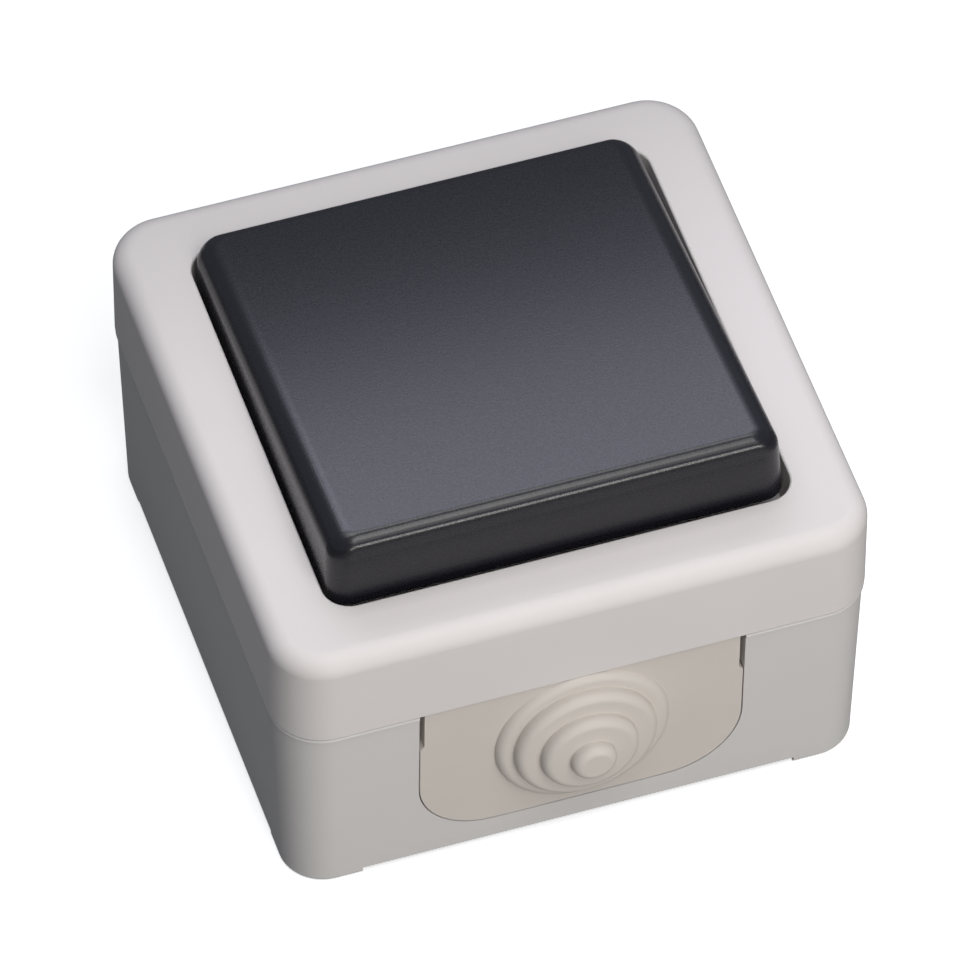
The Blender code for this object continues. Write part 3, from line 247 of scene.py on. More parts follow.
print("cover shell:", len(cover.data.polygons), "faces")

# %% [markdown]
# Under the face run two rings. The outer one is a ledge that presses on the seal when the cover is
# screwed down. The inner one is the well that the rocker sinks into, a second rounded block that
# grows from the cover's plate. Each reaches a little into what carries it, so that the Boolean joins
# them into one body.

# %% Cover: the seal's ledge and the rocker's well
SEAT_GAP = 0.3 * MM      # between fixed pieces that touch on the real switch
OVERLAP = 0.4 * MM       # how far a rib or boss reaches into what carries it
THROUGH = 1.0 * MM       # how far a cutter runs past what it cuts
LEDGE_HEIGHT = 1.0 * MM
LEDGE_WIDTH = 1.5 * MM
WINDOW_HALF = 25.8 * MM
WINDOW_CORNER = 3.0 * MM
WELL_WALL = 1.6 * MM
WELL_FLOOR = 1.6 * MM
COVER_SCREW_HEAD = 1.9 * MM
ledge_bottom = GASKET_TOP + SEAT_GAP
ledge_top = ledge_bottom + LEDGE_HEIGHT
ring_half = COVER_HALF - COVER_WALL - SEAT_GAP - LEDGE_WIDTH
well_half = WINDOW_HALF + WELL_WALL
well_floor_top = COVER_SCREW_TOP - COVER_SCREW_HEAD - SEAT_GAP
well_floor_bottom = well_floor_top - WELL_FLOOR

ledge = rounded_block("ledge", inner_half + OVERLAP, inner_half + OVERLAP,
                      COVER_CORNER - COVER_WALL + OVERLAP, ledge_bottom, ledge_top)
solid(ledge, "DIFFERENCE",
      rounded_block("ledge_hole", ring_half, ring_half, COVER_CORNER - (COVER_HALF - ring_half),
                    ledge_bottom - THROUGH, ledge_top + THROUGH))
solid(cover, "UNION", ledge,
      rounded_block("well", well_half, well_half, WINDOW_CORNER + WELL_WALL, well_floor_bottom,
                    plate_bottom + OVERLAP))
print(f"well floor at {well_floor_top / MM:.1f} mm")

# %% [markdown]
# Short ribs tie the well to the outer walls, two on each side, as a moulder draws them to keep thin
# walls straight. A round boss under each screw stands on the base's pillar.

# %% Cover: ribs and screw bosses
RIB_SPACING = 17.0 * MM
RIB_HALF = 0.6 * MM
BOSS_RADIUS = 3.5 * MM
SCREW_X = 19.5 * MM
rib_middle = (inner_half + well_half) / 2
rib_reach = (inner_half - well_half) / 2 + OVERLAP

for side in (1, -1):
    for offset in (-RIB_SPACING, RIB_SPACING):
        for x, y, reach_x, reach_y in ((side * rib_middle, offset, rib_reach, RIB_HALF),
                                       (offset, side * rib_middle, RIB_HALF, rib_reach)):
            solid(cover, "UNION", block("rib", (x - reach_x, y - reach_y, ledge_top + OVERLAP),
                                        (x + reach_x, y + reach_y, plate_bottom + OVERLAP)))
    solid(cover, "UNION", bar("boss", BOSS_RADIUS, PILLAR_TOP + SEAT_GAP,
                              well_floor_bottom + OVERLAP, (side * SCREW_X, 0)))
print("cover with ribs:", len(cover.data.polygons), "faces")

# %% [markdown]
# The window is cut down to the well's floor, an opening in that floor lets the mechanism through,
# and two holes take the screws. In the photograph the window lies a hair right of the middle, so it
# does here. Only its edge shows, and the edge gets its bevel last, when the cut has made it.

# %% Cover: window, opening and screw holes
WINDOW_X = 0.2 * MM
WINDOW_ROLL = 0.3 * MM
APERTURE_X, APERTURE_Y, APERTURE_CORNER = 13.0 * MM, 9.7 * MM, 1.5 * MM
SCREW_HOLE = 1.7 * MM

solid(cover, "DIFFERENCE",
      rounded_block("window", WINDOW_HALF, WINDOW_HALF, WINDOW_CORNER, well_floor_top,
                    COVER_TOP + 2 * THROUGH, (WINDOW_X, 0)),
      rounded_block("aperture", APERTURE_X, APERTURE_Y, APERTURE_CORNER,
                    well_floor_bottom - 2 * THROUGH, well_floor_top + 2 * THROUGH,
                    segments=SMALL_ARC),
      *[bar("screw_hole", SCREW_HOLE, PILLAR_TOP - 2 * THROUGH, well_floor_top + 2 * THROUGH,
            (x, 0), HOLE_SIDES) for x in (SCREW_X, -SCREW_X)])
with editing(cover):
    rim = choose(cover, "EDGE", lambda middle, along: middle.z > COVER_TOP - TOUCH
                 and max(abs(middle.x - WINDOW_X), abs(middle.y)) < WINDOW_HALF + TOUCH)
    bpy.ops.mesh.bevel(offset=WINDOW_ROLL, segments=SMALL_ARC, affect="EDGES")
print("window rim edges bevelled:", rim)
finish_surface(cover)

# %% [markdown]
# The base is the deep half of the box. Its walls lean inwards by 0.7 mm towards the wall, because
# a moulding needs that draft to leave its mould, and from the front it shows as a slightly narrower
# foot. An inset of the lower face that is given a depth makes such a wall in one step, and keeps it
# even round the corners. A fine bead runs round the rim and catches the light as a thin bright
# line under the cover. The upper face becomes the lip that reaches into the cover, and then drops
# to the floor.

# %% Base: drafted walls, lip and cavity
BEAD = 0.2 * MM
SEAM_GAP = 0.15 * MM
RIM_BAND = 0.4 * MM
RIM_ROLL = 0.25 * MM
RIM_ARC = 4
DRAFT = 0.7 * MM
FOOT_ROLL = 0.5 * MM
FLOOR_TOP = 2.9 * MM
FLOOR_SLOPE = 1.0 * MM
BASE_WALL = 2.0 * MM
rim_z = COVER_BOTTOM - SEAM_GAP
foot_half = RIM_HALF - DRAFT
lip_half = COVER_HALF - COVER_WALL - SEAT_GAP
cavity_half = foot_half - BASE_WALL
bead_half = RIM_HALF + BEAD

base = rounded_block("base_shell", bead_half, bead_half, COVER_CORNER - (COVER_HALF - bead_half),
                     rim_z - RIM_BAND, rim_z)
with editing(base):
    choose(base, "EDGE", lambda middle, along: middle.z > rim_z - TOUCH)
    bpy.ops.mesh.bevel(offset=RIM_ROLL, segments=RIM_ARC, affect="EDGES")
    choose(base, "FACE", lambda middle, normal: normal.z < -ALONG)
    bpy.ops.mesh.inset(thickness=BEAD, depth=BEAD)
    bpy.ops.mesh.inset(thickness=DRAFT, depth=rim_z - RIM_BAND - BEAD)
    choose(base, "EDGE", lambda middle, along: middle.z < TOUCH)
    bpy.ops.mesh.bevel(offset=FOOT_ROLL, segments=SMALL_ARC, affect="EDGES")
    choose(base, "FACE", lambda middle, normal: normal.z > ALONG)
    bpy.ops.mesh.inset(thickness=bead_half - RIM_ROLL - lip_half)
    push(LIP_TOP - rim_z)
    bpy.ops.mesh.inset(thickness=lip_half - cavity_half)
    push(FLOOR_TOP + FLOOR_SLOPE - LIP_TOP)
    bpy.ops.mesh.inset(thickness=FLOOR_SLOPE, depth=-FLOOR_SLOPE)
print("base shell:", len(base.data.polygons), "faces")

# %% [markdown]
# Inside stand two pillars for the cover's screws, each with a rib to the wall, and two posts for the
# insert's screws. A pillar is joined first and drilled after, as the core pin of a mould leaves it.

# %% Base: pillars and posts
PILLAR_RIB_HALF, PILLAR_RIB_TOP = 0.9 * MM, 18.0 * MM
PILLAR_HOLE_BOTTOM = 14.5 * MM
POST_RADIUS, POST_HOLE, POST_HOLE_BOTTOM = 3.4 * MM, 1.5 * MM, 4.5 * MM
INSERT_SCREW_HEAD, INSERT_EAR = 1.7 * MM, 2.3 * MM
POSTS = ((17.5 * MM, 12.0 * MM), (-17.5 * MM, -12.0 * MM))
post_top = INSERT_SCREW_TOP - INSERT_SCREW_HEAD - INSERT_EAR - SEAT_GAP

for side in (1, -1):
    x = side * SCREW_X
    rib_low, rib_high = sorted((side * (SCREW_X + BOSS_RADIUS - OVERLAP),
                                side * (cavity_half + OVERLAP)))
    solid(base, "UNION", bar("pillar", BOSS_RADIUS, FLOOR_TOP - OVERLAP, PILLAR_TOP, (x, 0)),
          block("pillar_rib", (rib_low, -PILLAR_RIB_HALF, FLOOR_TOP - OVERLAP),
                (rib_high, PILLAR_RIB_HALF, PILLAR_RIB_TOP)))
    solid(base, "DIFFERENCE", bar("pillar_hole", SCREW_HOLE, PILLAR_HOLE_BOTTOM,
                                  PILLAR_TOP + THROUGH, (x, 0), HOLE_SIDES))
for place in POSTS:
    solid(base, "UNION", bar("post", POST_RADIUS, FLOOR_TOP - OVERLAP, post_top, place))
    solid(base, "DIFFERENCE", bar("post_hole", POST_HOLE, POST_HOLE_BOTTOM, post_top + THROUGH,
                                  place, HOLE_SIDES))
print(f"pillars reach {PILLAR_TOP / MM:.1f} mm, posts {post_top / MM:.1f} mm")

# %% [markdown]
# The end walls have a U-shaped notch each for a cable grommet, open at the rim so that the rubber
# slides in from above. On the back, a shallow cross leaves four corner pads, a ring-shaped groove
# marks the knock-out, and two slots take the wall screws. Each is a solid of its own that is cut
# out. The groove is a torus that is stretched upwards, which leaves a thin skin over it.

# %% Base: notches and the back
PAD_HEIGHT = 0.9 * MM
PAD_LENGTH = 7.8 * MM
NOTCH_HALF = 18.1 * MM
NOTCH_BOTTOM = 3.9 * MM
NOTCH_RADIUS = 8.3 * MM
KNOCKOUT_RADIUS, GROOVE_HALF, GROOVE_STRETCH = 8.0 * MM, 0.4 * MM, 2.2
RING_SIDES, GROOVE_SIDES = 96, 16
SLOT_X, SLOT_Y = 18.5 * MM, 17.5 * MM
SLOT_HALF_LENGTH, SLOT_HALF_WIDTH, SLOT_ARC = 4.25 * MM, 2.2 * MM, 8
LOWER_BAND = 1.0 * MM    # height within which an edge belongs to the bottom of a notch
HAIR = 0.001 * MM        # keeps the two arcs of a slot's round end from meeting in one line
pad = foot_half - PAD_LENGTH
reach = COVER_HALF + THROUGH


def u_block(name, half, bottom, top, radius, near, far):
    """Block along Y whose two lower edges are round: the outline of a cable notch."""
    piece = block(name, (-half, near, bottom), (half, far, top))
    with editing(piece):
        choose(piece, "EDGE", lambda middle, along: abs(along.y) > ALONG
               and middle.z < bottom + LOWER_BAND)
        bpy.ops.mesh.bevel(offset=radius, segments=ARC, affect="EDGES")
    return piece


def notch(name, near, far):
    """Cutter for one notch, open at the top."""
    return u_block(name, NOTCH_HALF, NOTCH_BOTTOM, LIP_TOP + THROUGH, NOTCH_RADIUS, near, far)


def wall_slot(x, y):
    """Slot with round ends for one wall screw."""
    return rounded_block("wall_slot", SLOT_HALF_LENGTH, SLOT_HALF_WIDTH, SLOT_HALF_WIDTH - HAIR,
                         -THROUGH, FLOOR_TOP + THROUGH, (x, y), SLOT_ARC)


bpy.ops.object.select_all(action="DESELECT")
bpy.ops.mesh.primitive_torus_add(major_segments=RING_SIDES, minor_segments=GROOVE_SIDES,
                                 major_radius=KNOCKOUT_RADIUS, minor_radius=GROOVE_HALF,
                                 location=(0, 0, PAD_HEIGHT))
groove = bpy.context.object
bpy.ops.transform.resize(value=(1, 1, GROOVE_STRETCH), center_override=(0, 0, PAD_HEIGHT))
bpy.ops.object.transform_apply()
solid(base, "DIFFERENCE",
      notch("notch_lower", -reach, THROUGH - cavity_half),
      notch("notch_upper", cavity_half - THROUGH, reach),
      block("across", (-reach, -pad, -THROUGH), (reach, pad, PAD_HEIGHT)),
      block("along", (-pad, -reach, -THROUGH), (pad, reach, PAD_HEIGHT)),
      groove, wall_slot(-SLOT_X, SLOT_Y), wall_slot(SLOT_X, -SLOT_Y))
finish_surface(base)

# %% [markdown]
# A cable grommet is a plate of soft elastomer with a stepped cone. The plate fills the notch up to a
# gap of 0.12 mm and follows the slope of the box's wall, so its outer face is cut with a slanted
# plane by bisect. Near the seam its sides step in, which shows as a short dark slit on either side:
# two more bisects mark the height of the step, and the points above it are moved in.

# %% Grommets: the plate
PLATE_GAP = 0.12 * MM
PLATE_HALF = NOTCH_HALF - PLATE_GAP
PLATE_BOTTOM = NOTCH_BOTTOM + PLATE_GAP
PLATE_RADIUS = NOTCH_RADIUS - PLATE_GAP
PLATE_ROLL = 0.1 * MM
RELIEF_Z = 19.0 * MM
RELIEF = 0.45 * MM
FLANGE = 1.3 * MM
LEVEL_EDGE = 0.9999      # cosine above which an edge of the face runs level, along X
flange_face = cavity_half - SEAT_GAP


def wall_half(z):
    """Half width of the base's outer wall at height z."""
    return foot_half + DRAFT * z / rim_z


def grommet_plate(name):
    """Plate in the lower notch, with its outer edges broken."""
    plate = u_block(name, PLATE_HALF, PLATE_BOTTOM, rim_z, PLATE_RADIUS, -reach,
                    -flange_face + FLANGE / 2)
    slope = Vector((0, -rim_z, -DRAFT)).normalized()
    with editing(plate):
        bpy.ops.mesh.select_all(action="SELECT")
        bpy.ops.mesh.bisect(plane_co=(0, -foot_half, 0), plane_no=slope, use_fill=True,
                            clear_outer=True)
        for height in (RELIEF_Z, RELIEF_Z + RELIEF):
            bpy.ops.mesh.select_all(action="SELECT")
            bpy.ops.mesh.bisect(plane_co=(0, 0, height), plane_no=(0, 0, 1))
        pull_in(plate, 0, RELIEF_Z + RELIEF / 2, RELIEF)
        choose(plate, "EDGE", lambda middle, along: abs(middle.y + wall_half(middle.z)) < TOUCH
               and (abs(along.x) < LEVEL_EDGE or middle.z > rim_z - TOUCH))
        bpy.ops.mesh.bevel(offset=PLATE_ROLL, segments=TINY_ARC, affect="EDGES")
    return plate


print(f"grommet plate {2 * PLATE_HALF / MM:.1f} mm wide")

# %% [markdown]
# The fitter cuts the cone at the step that suits the cable. It could be spun from a profile, but
# stacking is closer to how its mould is turned: a disc is extruded, inset to the next radius and
# extruded again, and all rims are then rounded together. A disc with many sides has its flats a
# little nearer to the middle than its points, and an inset is measured from the flats, hence the
# cosine. The same function makes the hollow behind the cone, with every radius less by the rubber's
# thickness.

# %% Grommets: the stepped cone
CONE_RADII = (9.7 * MM, 7.9 * MM, 5.4 * MM, 2.5 * MM)
CONE_SIDES = 96
FIRST_STEP = 1.0 * MM
STEP = 1.4 * MM
STEP_ROLL = 1.0 * MM
STEP_ARC = 7
LEVEL = 0.01             # greatest rise of an edge that counts as level
NEAR_RIM = 0.1 * MM


def stepped_cone(name, radii, first, roll, foot):
    """Stack of discs along Z from the foot up, with their outer rims rounded."""
    bpy.ops.object.select_all(action="DESELECT")
    bpy.ops.mesh.primitive_circle_add(vertices=CONE_SIDES, radius=radii[0], fill_type="NGON",
                                      location=(0, 0, foot))
    bpy.ops.object.transform_apply()
    cone = bpy.context.object
    cone.name = cone.data.name = name
    rims = [first + STEP * number for number in range(len(radii))]
    with editing(cone):
        bpy.ops.mesh.select_mode(type="FACE")
        bpy.ops.mesh.select_all(action="SELECT")
        push(first - foot)
        for wide, narrow in zip(radii, radii[1:]):
            bpy.ops.mesh.inset(thickness=(wide - narrow) * cos(pi / CONE_SIDES))
            push(STEP)
        bpy.ops.mesh.select_all(action="SELECT")
        bpy.ops.mesh.normals_make_consistent(inside=False)
        choose(cone, "EDGE", lambda middle, along: abs(along.z) < LEVEL and any(
            abs(middle.z - rim) < TOUCH and abs(hypot(middle.x, middle.y) - radius) < NEAR_RIM
            for rim, radius in zip(rims, radii)))
        bpy.ops.mesh.bevel(offset=roll, segments=STEP_ARC, affect="EDGES")
    return cone


print("cone steps:", len(CONE_RADII))

# %% [markdown]
# A whole grommet is the plate, a wider flange behind the wall, a lip under the cover and the cone,
# all of one rubber. It is built in the lower notch. The upper one is the same, turned by half a turn
# about the middle of the box, so both are real meshes with their place in the mesh.

# %% Grommets: plate, flange, lip and cone in one
CONE_Z = 15.5 * MM
RUBBER = 1.2 * MM
FLANGE_MARGIN = 0.8 * MM


def grommet(name, turn):
    """One whole grommet, built in the lower notch and turned about the middle of the box."""
    plate = grommet_plate(name)
    flange = u_block("flange", PLATE_HALF + FLANGE_MARGIN, PLATE_BOTTOM - FLANGE_MARGIN, LIP_TOP,
                     PLATE_RADIUS + FLANGE_MARGIN, -flange_face, -flange_face + FLANGE)
    lip_x = PLATE_HALF - RELIEF - SEAT_GAP
    lip = block("lip", (-lip_x, -lip_half, rim_z - THROUGH),
                (lip_x, -flange_face + FLANGE / 2, LIP_TOP))
    cone = stepped_cone("cone", CONE_RADII, FIRST_STEP, STEP_ROLL, -RUBBER)
    hollow_foot = cavity_half - SEAT_GAP - FLANGE - 2 * THROUGH - wall_half(CONE_Z)
    hollow = stepped_cone("hollow", [radius - RUBBER for radius in CONE_RADII],
                          FIRST_STEP - RUBBER, STEP_ROLL / 2, hollow_foot)
    for tool in (cone, hollow):
        tool.location = (0, -wall_half(CONE_Z), CONE_Z)
        tool.rotation_euler = (pi / 2, 0, 0)
        only(tool)
        bpy.ops.object.transform_apply()
    solid(plate, "UNION", flange, lip, cone)
    solid(plate, "DIFFERENCE", hollow)
    plate.rotation_euler = (0, 0, turn)
    only(plate)
    bpy.ops.object.transform_apply()
    finish_surface(plate)
    return plate


lower_grommet = grommet("grommet_lower", 0.0)
upper_grommet = grommet("grommet_upper", pi)

# %% [markdown]
# The rocker is moulded in anthracite ABS with an eroded, finely grained face. Its long sides roll
# over with a wide radius of 2.9 mm, and its two ends with one of 1.5 mm. A bevel can't blend two
# radii round a corner, so the shape is grown level by level: the upper face is inset with a depth,
# and its left, right, near and far points are then moved the rest of the way. The levels lie where
# an even division of each arc puts them.

# %% Rocker: the outer form, modelled level
ROCKER_HALF_X = 25.25 * MM
ROCKER_HALF_Y = 25.1 * MM
ROCKER_TOP = 9.44 * MM   # above the hinge, as is the skirt
SKIRT = 0.6 * MM
SKIRT_BAND = 0.5 * MM
ROCKER_CORNER = 2.5 * MM
ROCKER_DRAFT = 0.3 * MM
SIDE_ROLL = 2.9 * MM
END_ROLL = 1.5 * MM
LEAST = 0.0001 * MM      # below this, a move is left out
ON_LEVEL = 0.001 * MM    # how near a point counts as lying on the newest level


def rolled(radius, drop):
    """How far a round edge has come in at a distance below the face."""
    if drop >= radius:
        return 0.0
    return radius - sqrt(radius ** 2 - (radius - drop) ** 2)


drops = sorted({radius * (1 - sin(pi / 2 * step / ARC)) for radius in (SIDE_ROLL, END_ROLL)
                for step in range(ARC + 1)}, reverse=True)
foot = HINGE.z + SKIRT
face = HINGE.z + ROCKER_TOP
level = foot + SKIRT_BAND
rocker = rounded_block("rocker", ROCKER_HALF_X, ROCKER_HALF_Y, ROCKER_CORNER, foot, level)
with editing(rocker):
    choose(rocker, "FACE", lambda middle, normal: normal.z > ALONG)
    now_x = now_y = 0.0
    for drop in drops:
        rise = face - drop - level
        leaning = ROCKER_DRAFT * (1 - max(0.0, drop - SIDE_ROLL) / (ROCKER_TOP - SIDE_ROLL))
        next_x, next_y = leaning + rolled(SIDE_ROLL, drop), leaning + rolled(END_ROLL, drop)
        even = min(next_x - now_x, next_y - now_y)
        bpy.ops.mesh.inset(thickness=max(even, LEAST), depth=rise)
        level += rise
        for axis, extra in ((0, next_x - now_x - even), (1, next_y - now_y - even)):
            if extra > LEAST:
                pull_in(rocker, axis, level - ON_LEVEL, extra)
        choose(rocker, "FACE", lambda middle, normal: middle.z > level - ON_LEVEL
               and normal.z > ALONG)
        now_x, now_y = next_x, next_y
print("rocker levels:", len(drops))

# %% [markdown]
# The rocker's underside is hollow, so that the mesh is as thin as the moulding. The hollow is one
# more rounded block whose upper edges slope in under the rounds of the outside.

# %% Rocker: the hollow
ROCKER_WALL = 1.6 * MM
ROCKER_PLATE = 2.2 * MM
HOLLOW_ARC = 6
ceiling = face - ROCKER_PLATE
hollow_x, hollow_y = ROCKER_HALF_X - ROCKER_WALL, ROCKER_HALF_Y - ROCKER_WALL
hollow_slope = SIDE_ROLL - ROCKER_WALL / 2

hollow = rounded_block("hollow", hollow_x, hollow_y, ROCKER_CORNER - ROCKER_WALL,
                       foot - 2 * THROUGH, ceiling - hollow_slope, segments=HOLLOW_ARC)
with editing(hollow):
    choose(hollow, "FACE", lambda middle, normal: normal.z > ALONG)
    push(hollow_slope)
    for axis in (0, 1):
        pull_in(hollow, axis, ceiling - TOUCH, hollow_slope)
solid(rocker, "DIFFERENCE", hollow)
print("rocker with its hollow:", len(rocker.data.polygons), "faces")

# %% [markdown]
# Ribs keep the wide face flat, two pads rest on the cradle, and two clips with hooks grip its edges.
# Each stands on both sides of the middle, so one loop makes them all.

# %% Rocker: ribs, pads and clips
ROCKER_RIB_DEPTH = 2.6 * MM
ROCKER_RIB_X, ROCKER_RIB_Y = 14.5 * MM, 12.5 * MM
CRADLE_UNDERSIDE = 3.2 * MM          # of its plate, above the hinge
CRADLE_PLATE = 1.6 * MM
PAD_X, PAD_Y = 11.0 * MM, 4.0 * MM
CLIP_HALF = 3.0 * MM
CLIP_NEAR, CLIP_FAR = 8.3 * MM, 9.5 * MM
HOOK_NEAR, HOOK_FAR = 7.5 * MM, 8.4 * MM
HOOK_HEIGHT = 1.0 * MM
rib_bottom = ceiling - ROCKER_RIB_DEPTH
rib_x, rib_y = hollow_x - ROCKER_DRAFT + OVERLAP, hollow_y - ROCKER_DRAFT + OVERLAP
plate_z = HINGE.z + CRADLE_UNDERSIDE
pad_bottom = plate_z + CRADLE_PLATE + SEAT_GAP
hook_top = plate_z - SEAT_GAP
hook_bottom = hook_top - HOOK_HEIGHT
top = ceiling + OVERLAP

for side in (1, -1):
    long_x, cross_y, pad_y = side * ROCKER_RIB_X, side * ROCKER_RIB_Y, side * PAD_Y
    clip_near, clip_far = sorted((side * CLIP_NEAR, side * CLIP_FAR))
    hook_near, hook_far = sorted((side * HOOK_NEAR, side * HOOK_FAR))
    solid(rocker, "UNION",
          block("rib", (long_x - RIB_HALF, -rib_y, rib_bottom), (long_x + RIB_HALF, rib_y, top)),
          block("rib", (-rib_x, cross_y - RIB_HALF, rib_bottom), (rib_x, cross_y + RIB_HALF, top)),
          block("pad", (-PAD_X, pad_y - RIB_HALF, pad_bottom), (PAD_X, pad_y + RIB_HALF, top)),
          block("clip", (-CLIP_HALF, clip_near, hook_bottom), (CLIP_HALF, clip_far, top)),
          block("hook", (-CLIP_HALF, hook_near, hook_bottom), (CLIP_HALF, hook_far, hook_top)))
print("rocker with its ribs:", len(rocker.data.polygons), "faces")

# %% [markdown]
# When all is in place, the whole rocker is turned about the hinge into the position that it rests
# in, with its lower end out. It is turned in edit mode, so its object stays unturned.

# %% Rocker: the tilt
ROCKER_SHADING = 40.0
with editing(rocker):
    bpy.ops.mesh.select_all(action="SELECT")
    bpy.ops.transform.rotate(value=TILT, orient_axis="X", center_override=HINGE)
finish_surface(rocker, ROCKER_SHADING)

# %% [markdown]
# Each fine piece rides on the body that its plain solid belongs to, stands in for that solid, and
# names the record's finish that it takes.

# %% Seat the fine pieces on their bodies
for piece, body, slot, node in ((cover, "box", "cover_plastic", "cover_frame"),
                                (base, "box", "base_plastic", "base_box"),
                                (lower_grommet, "box", "grommet_rubber", "cable_grommet_bottom"),
                                (upper_grommet, "box", "grommet_rubber", "cable_grommet_top"),
                                (rocker, "rocker", "rocker_plastic", "rocker_cap")):
    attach(piece, body)
    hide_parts(node)
    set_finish(piece, slot)
    print(piece.name, "stands for", node)

# %% [markdown]
# Materials are made of shader nodes. One helper adds a node, sets it up and links it. Colours are
# written as sRGB hex values, as one reads them off a screen, and turned to the linear values that
# the shader works with. Every finish here has the same three parts: two near colours that a noise
# mixes, a gloss that a finer noise varies, and that finer noise as a faint bump. Where a Mix node
# blends colours, its factor is socket 0, the colours are sockets 6 and 7, and the result is output 2.

# %% Helpers for colours and nodes
WHITE = (1, 1, 1, 1)
NOISE_LOW, NOISE_HIGH = 0.3, 0.7     # most of a noise's values lie between these


def linear(code):
    """Linear RGBA from an sRGB hex value."""
    parts = [int(code[place:place + 2], 16) / 255 for place in (1, 3, 5)]
    return (*[part / 12.92 if part <= 0.04045 else ((part + 0.055) / 1.055) ** 2.4
              for part in parts], 1)


def add_node(tree, kind, values=None, links=None, **settings):
    """Add a node with its settings, its socket values and the links into its sockets."""
    node = tree.nodes.new(kind)
    for name, value in settings.items():
        setattr(node, name, value)
    for socket, value in (values or {}).items():
        node.inputs[socket].default_value = value
    for socket, source in (links or {}).items():
        tree.links.new(source, node.inputs[socket])
    return node


def blank(name):
    """New material with its shader tree, its Principled shader and its Object coordinates."""
    material = bpy.data.materials.new(name)
    material.use_nodes = True
    tree = material.node_tree
    shader = tree.nodes["Principled BSDF"]
    place = add_node(tree, "ShaderNodeTexCoord").outputs["Object"]
    return material, tree, shader, place


def dress(tree, shader, tone, shade, clouds, grain, relief, roughness, spread):
    """Mix two colours by the clouds, and let the grain vary the gloss and bump the surface."""
    mix = add_node(tree, "ShaderNodeMix", {6: linear(tone), 7: linear(shade)},
                   {0: clouds.outputs["Fac"]}, data_type="RGBA")
    gloss = add_node(tree, "ShaderNodeMapRange",
                     {"From Min": NOISE_LOW, "From Max": NOISE_HIGH,
                      "To Min": roughness - spread, "To Max": roughness + spread},
                     {"Value": grain.outputs["Fac"]})
    bump = add_node(tree, "ShaderNodeBump", {"Distance": relief, "Strength": 1.0},
                    {"Height": grain.outputs["Fac"]})
    tree.links.new(mix.outputs[2], shader.inputs["Base Color"])
    tree.links.new(gloss.outputs[0], shader.inputs["Roughness"])
    tree.links.new(bump.outputs[0], shader.inputs["Normal"])


# %% [markdown]
# Moulded plastic is never one flat colour: the pigment flows in faint clouds a centimetre wide, the
# mould's surface leaves a fine grain, and the gloss varies with it. One recipe serves every plastic
# here. The noise scale is one over the size of the pattern, because Object coordinates are in
# metres. The real grain is about a tenth of a millimetre wide, too fine to show from here, so it is
# drawn two or three times as coarse.

# %% Moulded plastics
def moulded(name, tone, shade, cloud, grain, relief, roughness, spread, ior=1.5):
    """Plastic with clouds and a grain of the given sizes, and the grain's depth."""
    material, tree, shader, place = blank(name)
    clouds = add_node(tree, "ShaderNodeTexNoise", {"Scale": 1 / cloud, "Detail": 3.0},
                      {"Vector": place})
    fine = add_node(tree, "ShaderNodeTexNoise",
                    {"Scale": 1 / grain, "Detail": 2.0, "Roughness": 0.6}, {"Vector": place})
    dress(tree, shader, tone, shade, clouds, fine, relief, roughness, spread)
    shader.inputs["IOR"].default_value = ior
    return material


# ABS from a softly blasted mould: a warm white with a broad, even sheen and no sharp reflection.
cover_abs = moulded("satin_white_abs", "#DCD6D4", "#D8D2D0", 12 * MM, 0.35 * MM, 0.004 * MM,
                    0.56, 0.04, ior=1.46)
# The same ABS from a slightly rougher mould: a shade greyer, and duller where light grazes it.
base_abs = moulded("matt_white_abs", "#D2CECC", "#CECAC8", 12 * MM, 0.30 * MM, 0.005 * MM,
                   0.58, 0.04, ior=1.46)
# ABS from a spark-eroded mould: nearly black, and its fine pits spread the sheen without a mirror.
rocker_abs = moulded("eroded_anthracite_abs", "#191820", "#16151C", 9 * MM, 0.30 * MM,
                     0.006 * MM, 0.28, 0.03, ior=1.52)
# Soft thermoplastic elastomer: warmer and duller than the box around it, with soft highlights.
grommet_tpe = moulded("warm_grey_elastomer", "#D2CAC3", "#CDC5BE", 7 * MM, 0.25 * MM,
                      0.006 * MM, 0.58, 0.05)
# EPDM rubber from a pressed sheet: black, and matt in every light.
gasket_epdm = moulded("black_sealing_rubber", "#1B1B1C", "#151516", 6 * MM, 0.20 * MM,
                      0.006 * MM, 0.7, 0.05)
# Nylon with glass fibre: the fibres that reach the skin make it grey, cloudy and uneven in gloss.
insert_pa = moulded("grey_glass_filled_nylon", "#B9BCC0", "#AEB1B6", 5 * MM, 0.20 * MM,
                    0.008 * MM, 0.55, 0.08)
# Acetal for bearings: milky white and smooth, because it has to slide.
bearing_pom = moulded("natural_acetal", "#EAE7E0", "#E3E0D8", 8 * MM, 0.25 * MM, 0.003 * MM,
                      0.33, 0.04)
# Coloured nylon: brick red with a low gloss, so that the fitter sees the moving pin.
plunger_pa = moulded("red_nylon", "#B0473A", "#A13E33", 5 * MM, 0.20 * MM, 0.005 * MM,
                     0.38, 0.05)
print("plastics:", [plastic.name for plastic in (cover_abs, base_abs, rocker_abs, grommet_tpe)])

# %% [markdown]
# The metals inside are stamped sheet, turned contacts and plated screws. Sheet shows fine lines
# along the direction that it was rolled in, which is a noise stretched along one axis. Plating is
# cloudy in no direction. Real rolling marks are finer than a tenth of a millimetre, so these are
# drawn coarser as well. A metal keeps the default index of refraction, and its colour is its
# reflection.

